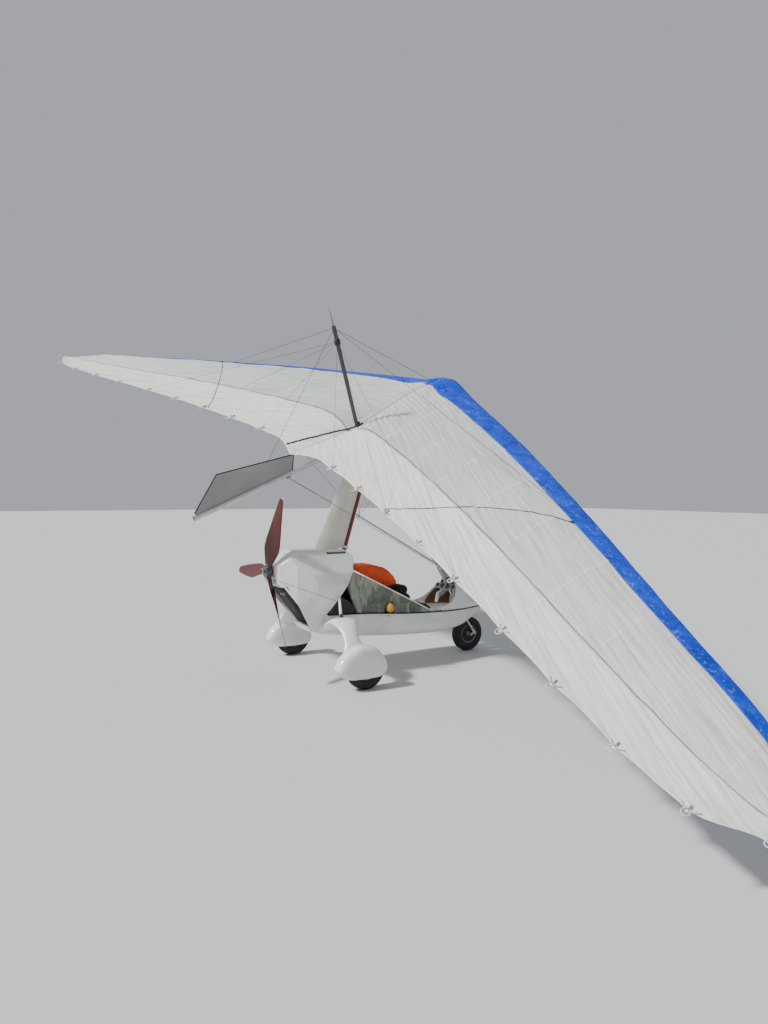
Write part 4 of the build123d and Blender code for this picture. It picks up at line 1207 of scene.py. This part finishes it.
screen = {
    "foot": [(0.190, 0.640), (1.115, 0.628)],
    "top": [(0.078, 0.955), (0.158, 1.070), (0.815, 0.738), (1.115, 0.590)],
    "topMarks": [0.0, 0.14, 0.80, 1.0],
    "inset": 0.006,
    "steps": (96, 40),
    "creaseFrom": (0.10, 0.60),
    "crease": 0.009,
    "wall": 0.002,
    "flat": (1.05, 0.48),
    "railMarks": (0.14, 0.3, 0.5, 0.7, 0.86, 0.95, 1.0),
    "railRadius": 0.0075,
    "hemMarks": [(0, 0), (0, 0.25), (0, 0.5), (0, 0.75), (0, 1.0), (0.07, 1), (0.137, 1)],
    "hemRadius": 0.006,
    "trimReach": (-0.105, 2.095, 61),
    "trimRadius": 0.0062,
}


def screenTop(u):
    # Along the upper edge: a short run up the back, then down the rail
    spots, marks = [Vector((x, 0, z)) for x, z in screen["top"]], screen["topMarks"]
    for index in range(len(spots) - 1):
        if u <= marks[index + 1]:
            share = (u - marks[index]) / (marks[index + 1] - marks[index])
            return spots[index].lerp(spots[index + 1], share)
    return spots[-1]


def screenSpot(u, v, side, creased=True):
    (x0, z0), (x1, z1) = screen["foot"]
    foot = Vector((x0, 0, z0)).lerp(Vector((x1, 0, z1)), u)
    foot.z = podValue(foot.x, 4) + 0.003
    spot = foot.lerp(screenTop(u), v)
    inward = screen["inset"]
    if creased:
        fromX, fromZ = screen["creaseFrom"]
        fan = math.atan2(spot.z - fromZ, spot.x - fromX)
        reach = math.hypot(spot.z - fromZ, spot.x - fromX)
        folds = noise.noise(Vector((fan * 9, reach * 2.2, side * 3.0)))
        folds += 0.5 * noise.noise(Vector((spot.x * 9, spot.z * 9, 4.0)))
        folds = abs(folds) * 2 * math.sin(math.pi * min(v * 1.1, 1)) * math.sin(math.pi * u)
        inward += screen["crease"] * folds
    return trikePoint(spot.x, side * (podValue(spot.x, 1) - inward), spot.z)


def makeScreens():
    for name, side in leftRight:
        shape = gridShape(*screen["steps"], lambda u, v: screenSpot(u, v, side))
        faceOut(shape)
        sheet = addPiece(f"sideScreen.{name}", shape, "clearScreen", replaced=["side_screens"])
        solidify(sheet, screen["wall"], 0)
        rail = [screenSpot(u, 1, side, False) for u in screen["railMarks"]]
        hem = [screenSpot(u, v, side, False) for u, v in screen["hemMarks"]]
        strip = [
            trikePoint(x, side * (podValue(x, 1) + 0.0015), podValue(x, 4) - 0.004)
            for x in between(*screen["trimReach"])
        ]
        tubes(f"screenRail.{name}", [(rail, screen["railRadius"])], "gelcoat")
        tubes(f"screenHem.{name}", [(hem, screen["hemRadius"])], "blackPlastic")
        tubes(f"podTrim.{name}", [(strip, screen["trimRadius"])], "blackPlastic", girth=8)


makeScreens()
print("stage: side screens")

# Seats: padded, swollen by a cloth simulation

seats = {
    "voxel": 0.0125,
    "frames": 20,
    "pressure": 4.0,
    "shrink": 0.008,
    "cap": 0.022,
    "rearHalf": 0.190,
    "frontHalf": 0.200,
    "cover": [
        (0.246, 0.885), (0.235, 1.025), (0.300, 1.076), (0.470, 1.080), (0.660, 1.030), (0.770, 0.925),
        (0.790, 0.880), (0.735, 0.872), (0.520, 0.860),
    ],
    "rearPad": [
        (0.250, 0.512), (0.244, 0.872), (0.520, 0.846), (0.735, 0.858), (0.786, 0.866), (0.735, 0.830),
        (0.520, 0.800), (0.560, 0.512),
    ],
    "frontPad": [
        (0.760, 0.512), (0.776, 0.700), (0.800, 0.765), (0.880, 0.765), (0.945, 0.735), (0.985, 0.625),
        (1.230, 0.600), (1.240, 0.512),
    ],
    "headrest": {"centre": (0.882, 0, 0.800), "radius": 0.066, "half": 0.150, "cap": 0.012},
    "piping": [(0.250, 0.878), (0.520, 0.853), (0.735, 0.865), (0.785, 0.874)],
    "belt": [(0.60, 0.17, 0.545), (0.74, 0.19, 0.57), (0.98, 0.13, 0.655), (1.08, 0.05, 0.650)],
    "beltSize": (0.045, 0.003),
}


def swell(piece, capAt):
    modify(piece, "REMESH", mode="VOXEL", voxel_size=seats["voxel"])
    settle(piece)
    before = [vert.co.copy() for vert in piece.data.vertices]
    cloth = modify(piece, "CLOTH")
    cloth.settings.use_pressure = True
    cloth.settings.uniform_pressure_force = seats["pressure"]
    cloth.settings.effector_weights.gravity = 0
    cloth.point_cache.frame_start = 1
    cloth.point_cache.frame_end = seats["frames"]
    for moment in range(1, seats["frames"] + 1):
        scene.frame_set(moment)
    settle(piece)
    scene.frame_set(1)
    for vert, old in zip(piece.data.vertices, before):
        move = vert.co - old
        if move.length > capAt:
            vert.co = old + move.normalized() * capAt
    modify(piece, "SUBSURF", levels=1, render_levels=1)
    settle(piece)
    piece.data.shade_smooth()


def wrinkle(piece, depth, scale):
    # Loose folds all over
    normals = [vert.normal.copy() for vert in piece.data.vertices]
    for vert, normal in zip(piece.data.vertices, normals):
        spot = vert.co * scale
        folds = noise.noise(Vector((spot.x * 2.2, spot.y * 0.7, spot.z * 2.2)))
        folds += 0.5 * noise.noise(spot * 2.6)
        vert.co += normal * depth * (1 - 2 * abs(folds))


def makeSeats():
    shrink = seats["shrink"]
    # Columns: piece, outline, half width, finish, node, depth of the folds
    for name, outline, half, finish, node, folds in (
        ("rearSeatCover", "cover", seats["rearHalf"], "orangeCloth", "rear_seat", 0.0055),
        ("rearSeatPad", "rearPad", seats["rearHalf"] - 0.01, "blackCloth", "rear_seat", 0.0016),
        ("frontSeatPad", "frontPad", seats["frontHalf"], "blackCloth", "front_seat", 0.0016),
    ):
        piece = addPiece(name, prism(seats[outline], half - shrink), finish, replaced=[node])
        swell(piece, seats["cap"])
        wrinkle(piece, folds, 9)
    rest = seats["headrest"]
    radius, length = rest["radius"] - shrink, 2 * (rest["half"] - shrink)
    shape = drum(trikePoint(*rest["centre"]), Vector((0, 1, 0)), radius, length, 32)
    swell(addPiece("headrest", shape, "blackCloth", replaced=["front_seat"]), rest["cap"])


def makePiping():
    # Piped edges on both sides of the rear seat, and the lap belts of the front one
    y, up = seats["rearHalf"] - 0.006, Vector((0, 0, 1))
    runs = [([trikePoint(x, side * y, z) for x, z in seats["piping"]], 0.004) for side in (-1, 1)]
    tubes("seatPiping", runs, "blackCloth", girth=8)
    for name, side in (("left", -1), ("right", 1)):
        line = curvePoints([trikePoint(x, side * y, z) for x, y, z in seats["belt"]], 24)
        ribbon(f"lapBelt.{name}", line, up, *seats["beltSize"], "creamTape", "airframe", "seat_black")


makeSeats()
makePiping()
print("stage: seats")

# Instruments

dials = {
    "foot": (1.485, 0.690),
    "slope": 53,
    # Columns: y, height up the panel, radius
    "places": [
        (0.150, 0.120, 0.024), (0.092, 0.185, 0.030), (0.052, 0.115, 0.028),
        (-0.052, 0.115, 0.028), (-0.092, 0.185, 0.030), (-0.150, 0.120, 0.024),
    ],
    # Height over the panel and step in from the dial's radius
    "bezel": [(0.0, 0.0), (0.011, 0.0), (0.013, 0.0015), (0.011, 0.0035), (0.007, 0.0040)],
    "face": [(0.0075, 0.0035), (0.0095, 0.0035)],
    "ticks": 12,
}


def makeDials():
    slope = math.radians(dials["slope"])
    side = Vector((0, 1, 0))
    up = Vector((math.cos(slope), 0, math.sin(slope)))
    out = Vector((-math.sin(slope), 0, math.cos(slope)))
    bezels, faces, marks = bmesh.new(), bmesh.new(), []
    for y, height, radius in dials["places"]:
        centre = trikePoint(dials["foot"][0], y, dials["foot"][1]) + up * height
        for rows, shape in ((dials["bezel"], bezels), (dials["face"], faces)):
            ringShell(
                [
                    [centre + out * rise + around(up, side, angle) * (radius - inward) for angle in turns(48)]
                    for rise, inward in rows
                ],
                shape=shape,
            )
        rise, inward = dials["face"][-1]
        face, disc = centre + out * rise, radius - inward
        for angle in turns(dials["ticks"]):
            marks.append(turned(face, around(up, side, angle) * disc, [(0.76, 0.0008), (0.94, 0.0008)]))
        needle = around(up, side, 0.9 + 23 * height + 7 * y) * disc
        marks.append(turned(face, needle, [(-0.15, 0.0015), (0.8, 0.0006)]))
    addPiece("dialBezels", bezels, "blackPlastic")
    addPiece("dialFaces", faces, "dialFace")
    tubes("dialMarks", marks, "gelcoat", girth=6)


makeDials()
print("stage: dials")

# Propeller

blade = {
    # Columns: radius, chord, thickness, pitch in degrees
    "rows": [
        (0.050, 0.062, 0.036, 48), (0.150, 0.118, 0.027, 43), (0.265, 0.172, 0.020, 37),
        (0.420, 0.156, 0.016, 30), (0.620, 0.112, 0.011, 22), (0.760, 0.074, 0.008, 18),
        (0.802, 0.052, 0.006, 16), (0.815, 0.020, 0.003, 16),
    ],
    "count": 3,
    "startAngle": 116,
    "steps": 46,
    "girth": 30,
    # Distance and radius along the blade, then along the axis
    "clamp": [(0.030, 0.030), (0.050, 0.030), (0.088, 0.026)],
    "bolt": [(-0.033, 0.005), (0.031, 0.005)],
    "boltAt": (0.062, 0.020),
}


def bladeRing(along, out, across):
    chord, thick, pitch = (rowValue(blade["rows"], along, column) for column in (1, 2, 3))
    chordWay = around(across, Vector((1, 0, 0)), math.radians(pitch))
    faceWay = chordWay.cross(out)
    ring = []
    for angle in turns(blade["girth"]):
        front = (0.5 + 0.5 * math.cos(angle)) ** 0.6  # fuller towards the leading edge
        rise = math.sin(angle) * thick / 2 * (0.35 + 0.9 * front)
        ring.append(propCentre + out * along + chordWay * math.cos(angle) * chord / 2 + faceWay * rise)
    return ring


def makePropeller():
    shape = bmesh.new()
    first, last = blade["rows"][0][0], blade["rows"][-1][0]
    clamps, bolts = [], []
    for index in range(blade["count"]):
        angle = math.radians(blade["startAngle"] + 360 * index / blade["count"])
        out = Vector((0, math.cos(angle), math.sin(angle)))
        across = Vector((0, -math.sin(angle), math.cos(angle)))
        rings = [bladeRing(along, out, across) for along in between(first, last, blade["steps"])]
        ringShell(rings, shape=shape)
        clamps.append(turned(propCentre, out, blade["clamp"]))
        for side in (-1, 1):
            spot = propCentre + out * blade["boltAt"][0] + across * side * blade["boltAt"][1]
            bolts.append(turned(spot, Vector((1, 0, 0)), blade["bolt"]))
    addPiece("blades", shape, "maroonBlade", "propeller", ["propeller_blades"])
    tubes("bladeClamps", clamps, "hubGrey", "propeller", 8)
    tubes("clampBolts", bolts, "steel", "propeller", 6)


makePropeller()
print("stage: propeller")

# Wheels

wheel = {
    # Tyre section from one bead over the tread: radius, distance from the middle
    "tyre": [
        (0.1045, 0.030), (0.107, 0.038), (0.118, 0.044), (0.140, 0.0488), (0.162, 0.0498),
        (0.180, 0.0465), (0.1925, 0.0385), (0.1965, 0.033), (0.1925, 0.0315), (0.1925, 0.0285),
        (0.1985, 0.027), (0.1995, 0.0145), (0.1945, 0.013), (0.1945, 0.010), (0.2000, 0.0085), (0.2000, 0.0),
    ],
    # Rim section from the hub to the flange on one side
    "rim": [
        (0.012, 0.034), (0.027, 0.034), (0.030, 0.028), (0.034, 0.010), (0.050, 0.0085), (0.080, 0.0085),
        (0.088, 0.014), (0.094, 0.032), (0.100, 0.038), (0.112, 0.0385), (0.1135, 0.036), (0.1035, 0.033),
    ],
    "tyreWall": 0.006,
    "tyreSteps": 120,
    "rimSteps": 72,
    "nutAt": 0.043,
    "nut": [(-0.016, 0.006), (0.016, 0.006)],
    "valve": [(0.072, 0.010, 0.030), (0.086, 0.034, 0.036)],
    "valveRadius": 0.0035,
}


def spun(profile, centre, steps):
    # The section on both sides of the middle, turned once round the axle
    shape = bmesh.new()
    both = profile + [(radius, -across) for radius, across in profile[::-1] if across]
    verts = [shape.verts.new(centre + Vector((radius, across, 0))) for radius, across in both]
    edges = [shape.edges.new(pair) for pair in zip(verts, verts[1:])]
    bmesh.ops.spin(
        shape, geom=verts + edges, cent=centre, axis=(0, 1, 0), dvec=(0, 0, 0), angle=2 * math.pi,
        steps=steps, use_merge=True, use_duplicate=False,
    )
    bmesh.ops.remove_doubles(shape, verts=shape.verts[:], dist=1e-5)
    return shape


def makeWheels():
    for name, body in (("left", "main_wheel_left"), ("right", "main_wheel_right"), ("nose", "nose_wheel")):
        centre = jointSpot(f"{body}_spin")
        shape = spun(wheel["tyre"], centre, wheel["tyreSteps"])
        bmesh.ops.holes_fill(shape, edges=[edge for edge in shape.edges if edge.is_boundary], sides=0)
        faceOut(shape)
        solidify(addPiece(f"tyre.{name}", shape, "tyreRubber", body, [f"tyre_{name}"]), wheel["tyreWall"])
        shape = spun(wheel["rim"], centre, wheel["rimSteps"])
        faceOut(shape)
        addPiece(f"rim.{name}", shape, "rimGrey", body, [f"rim_{name}"])
        nuts = []
        for angle in turns(5):
            way = around(Vector((1, 0, 0)), Vector((0, 0, 1)), angle + math.pi / 10)
            nuts.append(turned(centre + way * wheel["nutAt"], Vector((0, 1, 0)), wheel["nut"]))
        nuts.append(([centre + Vector(spot) for spot in wheel["valve"]], wheel["valveRadius"]))
        tubes(f"wheelNuts.{name}", nuts, "steel", body, 6)


makeWheels()
print("stage: wheels")

# Fuel filler: a yellow neck in a round black recess

filler = {
    "place": (0.574, 0.628),
    "tilt": 66,
    # Distance out and radius
    "neck": [
        (0.0, 0.030), (0.006, 0.037), (0.020, 0.041), (0.040, 0.040), (0.056, 0.036), (0.068, 0.029),
        (0.078, 0.022), (0.088, 0.019), (0.090, 0.015),
    ],
    "knob": [(0.088, 0.010), (0.094, 0.010), (0.096, 0.015), (0.108, 0.015), (0.111, 0.012)],
    "recess": [(0.0, 0.062), (0.005, 0.062), (0.007, 0.058), (0.003, 0.050), (-0.012, 0.044)],
}


def makeFiller():
    x, z = filler["place"]
    turn = math.radians(filler["tilt"])
    way = Vector((0, -math.cos(turn), math.sin(turn)))
    wall = trikePoint(x, 0.008 - podValue(x, 1), z)
    start = trikePoint(x, 0.002 - podValue(x, 1), z)
    for name, base, along, rows, finish, girth in (
        ("fillerPlate", wall, Vector((0, -1, 0)), filler["recess"], "blackPlastic", 48),
        ("fillerNeck", start, way, filler["neck"], "yellowPlastic", 32),
        ("fillerKnob", start, way, filler["knob"], "blackPlastic", 32),
    ):
        tubes(name, [turned(base, along, rows)], finish, girth=girth, replaced=["fuel_filler"])


makeFiller()
print("stage: filler")

# Small fittings on the trike. The runs hold distance along the part and radius

fittings = {
    "strutLow": (-0.096, 0.530, 0.596),
    "strutHigh": (0.0, 0.300, 0.830),
    "clevis": [(0.016, 0.021), (0.030, 0.023), (0.086, 0.0185), (0.094, 0.0165)],
    "clevisPin": [(-0.027, 0.008), (0.027, 0.008)],
    "pinAt": 0.058,
    "ring": [(0.094, 0.0178), (0.106, 0.0178)],
    "screwAt": (0.115, 0.921, 0.180),
    "screw": [(-0.008, 0.005), (0.0025, 0.005)],
    "collarZ": 1.292,
    "collar": [(-0.016, 0.040), (0.006, 0.040), (0.012, 0.034)],
}


def makeFittings():
    dark, bright = [], []
    spots = [fittings[key] for key in ("strutLow", "strutHigh", "screwAt")]
    for side in (-1, 1):
        low, high, screwAt = (trikePoint(x, side * y, z) for x, y, z in spots)
        way = (high - low).normalized()
        dark.append(turned(low, way, fittings["clevis"]))
        dark.append(turned(low + way * fittings["pinAt"], Vector((1, 0, 0)), fittings["clevisPin"]))
        dark.append(turned(screwAt, Vector((0, side, 0)), fittings["screw"]))
        bright.append(turned(low, way, fittings["ring"]))
    foot = trikePoint(*cowl["pylonFoot"])
    way = (pitchPivot - foot).normalized()
    top = foot + way * ((fittings["collarZ"] - foot.z) / way.z)
    tubes("pylonCollar", [turned(top, way, fittings["collar"])], "gelcoat", girth=32)
    tubes("strutClevises", dark, "darkAlloy", girth=16)
    tubes("strutRings", bright, "alloy", girth=20)


makeFittings()
print("stage: fittings")

# Wing details, in the wing frame and on the cloth

rigging = {
    "zip": (0.63, 0.995, 41),  # share of the chord from and to, points
    "zipOut": 0.18,
    "zipSize": (0.018, 0.006),
    "tape": (0.20, 0.99, 71),
    "tapeY": 0.085,
    "tapeSize": (0.006, 0.0012),
    "onCloth": 0.004,  # how far cords lie over the cloth
    "edgeShare": 0.985,  # where lines meet the trailing edge
    "battenEnd": 0.024,
    "endRadius": 0.0052,
    "loopHalf": 0.020,
    "loopRadius": 0.0032,
    "cordReach": 0.050,
    "cordRadius": 0.0028,
    "lineRadius": 0.0014,
    "luffBattens": (1, 3, 5),
    "luffHead": 0.87,
    "kingpostFoot": (-0.135, 0, 0.03),
    "kingpostHead": (-0.219, 0, 1.282),
    "tie": ((1.66, 2.91, 25), (0.985, 0.22, 25)),  # y and share of the chord
    "tieRadius": 0.0030,
    "tieEnd": ((2.90, 0.224, 0.0), (2.93, 0.206, 0.012)),  # y, share, lift
    "tieEndRadius": 0.008,
    "pulley": [(-0.03, 0.028), (-0.015, 0.031), (0.015, 0.031), (0.03, 0.028)],
    "shoeShare": 0.629,
    "shoeBlock": [(-0.05, 0.014), (0.07, 0.014)],
    "shoeCup": [(-0.02, 0.026), (0.05, 0.026)],
    "corner": (0.128, 0.767, -1.452),
    "anchor": (0.070, 2.874, 0.060),
    "screw": [(0.06, 0.003), (0.07, 0.0075), (0.13, 0.0075), (0.14, 0.003)],
}


def onTop(y, share, lift=0.0):
    rise, drawn = relief(y, share)
    spot = clothSpot(abs(y), share, clothHeight(abs(y), share, sail["upper"]) + rise + lift)
    return wingPoint(spot.x + drawn, y, spot.z)


def makeTapes(up):
    low, high, count = rigging["zip"]
    slant = rigging["zipOut"] / (high - low)
    line = [onTop(slant * (share - low), share, 0.002) for share in between(low, high, count)]
    ribbon("rootZip", line, up, *rigging["zipSize"], "blackCloth", slotName="black_panel")
    for name, side in leftRight:
        line = [onTop(side * rigging["tapeY"], share, 0.0005) for share in between(*rigging["tape"])]
        ribbon(f"keelTape.{name}", line, up, *rigging["tapeSize"], "creamTape")


def makeBattenEnds(up):
    reach = rigging["battenEnd"]
    for name, side in leftRight:
        ends, loops = [], []
        for mark in sail["battens"][1:]:
            tip, inner = onTop(side * mark, 1.0, 0.002), onTop(side * mark, 0.97, rigging["onCloth"])
            way = (tip - inner).normalized()
            across = up.cross(way).normalized()
            start = tip + way * reach
            ends.append(([inner, start], rigging["endRadius"]))
            ahead, aside = way * -reach, across * rigging["loopHalf"]
            angles = [math.radians(degrees) for degrees in between(20, 340, 15)]
            loop = [start + up * 0.006 + around(ahead, aside, angle) for angle in angles]
            loops.append((loop, rigging["loopRadius"]))
            cords = (-1, 1) if mark < 5 else (-1,)
            for turn in cords:
                held = onTop(side * (mark + turn * rigging["cordReach"]), 0.982, rigging["onCloth"])
                loops.append(([start + up * 0.005, held], rigging["cordRadius"]))
        tubes(f"battenEnds.{name}", ends, "alloy", "wing", 8)
        tubes(f"battenLoops.{name}", loops, "creamCord", "wing", 6)


def makeLines(up, along):
    foot, head = wingPoint(*rigging["kingpostFoot"]), wingPoint(*rigging["kingpostHead"])
    start = foot.lerp(head, rigging["luffHead"])
    lines, ties, screws = [], [], []
    for side in (-1, 1):
        for index in rigging["luffBattens"]:
            held = onTop(side * sail["battens"][index], rigging["edgeShare"], rigging["onCloth"])
            lines.append(([start, held], rigging["lineRadius"]))
        spots = zip(*(between(*reach) for reach in rigging["tie"]))
        line = [onTop(side * y, share, rigging["onCloth"]) for y, share in spots]
        ties.append((line, rigging["tieRadius"]))
        ends = [onTop(side * y, share, lift) for y, share, lift in rigging["tieEnd"]]
        ties.append((ends, rigging["tieEndRadius"]))
        corner, anchor = (wingPoint(x, side * y, z) for x, y, z in (rigging["corner"], rigging["anchor"]))
        screws.append(turned(corner, (anchor - corner).normalized(), rigging["screw"]))
    tubes("luffLines", lines, "wire", "wing", 6)
    tubes("tieLines", ties, "wire", "wing", 8)
    pulley = turned(start, (head - foot).normalized(), rigging["pulley"])
    tubes("luffPulley", [pulley], "blackPlastic", "wing", 20)
    base = onTop(0.0, rigging["shoeShare"])
    shoe = [turned(base + up * 0.006, along, rigging["shoeBlock"]), turned(base, up, rigging["shoeCup"])]
    tubes("kingpostShoe", shoe, "blackPlastic", "wing", 16)
    tubes("wireScrews", screws, "steel", "wing", 12)


wingUp, wingAlong = ((wingMatrix.to_3x3() @ Vector(way)).normalized() for way in ((0, 0, 1), (1, 0, 0)))
makeTapes(wingUp)
makeBattenEnds(wingUp)
makeLines(wingUp, wingAlong)
print("stage: wing details")

# Keel fin: a doubled cloth between the keel's rear end and its upper edge

fin = {
    "lower": [(-1.000, 0.025), (-2.080, 0.025)],
    "upper": [(-0.940, 0.180), (-1.780, 0.330), (-2.095, 0.045)],
    "knee": 0.72,  # share of the upper edge ahead of its corner
    "steps": (90, 34),
    "ripple": 0.0035,
    "wall": 0.003,
    "hemRadius": 0.006,
    "flat": (1.16, 0.36),
}
finFoot, finTop = ([Vector((x, 0, z)) for x, z in fin[edge]] for edge in ("lower", "upper"))


def finSpot(u, v):
    knee, (front, corner, rear) = fin["knee"], finTop
    top = front.lerp(corner, u / knee) if u < knee else corner.lerp(rear, (u - knee) / (1 - knee))
    spot = finFoot[0].lerp(finFoot[1], u).lerp(top, v)
    folds = noise.noise(Vector((spot.x * 3.0 + spot.z * 9, spot.z * 2.5, 6.0)))
    spot.y = fin["ripple"] * folds * math.sin(math.pi * v)
    return spot


def makeFin():
    shape = gridShape(*fin["steps"], finSpot)
    shape.transform(wingMatrix)
    faceOut(shape)
    sheet = addPiece("keelFin", shape, "finCloth", "wing", ["keel_fin"])
    solidify(sheet, fin["wall"], 0)
    edge = [wingMatrix @ spot for spot in finFoot[:1] + finTop]
    hem = tubes("finHem", [(edge, fin["hemRadius"])], "blackCloth", "wing", 8)


makeFin()
print("stage: keel fin")
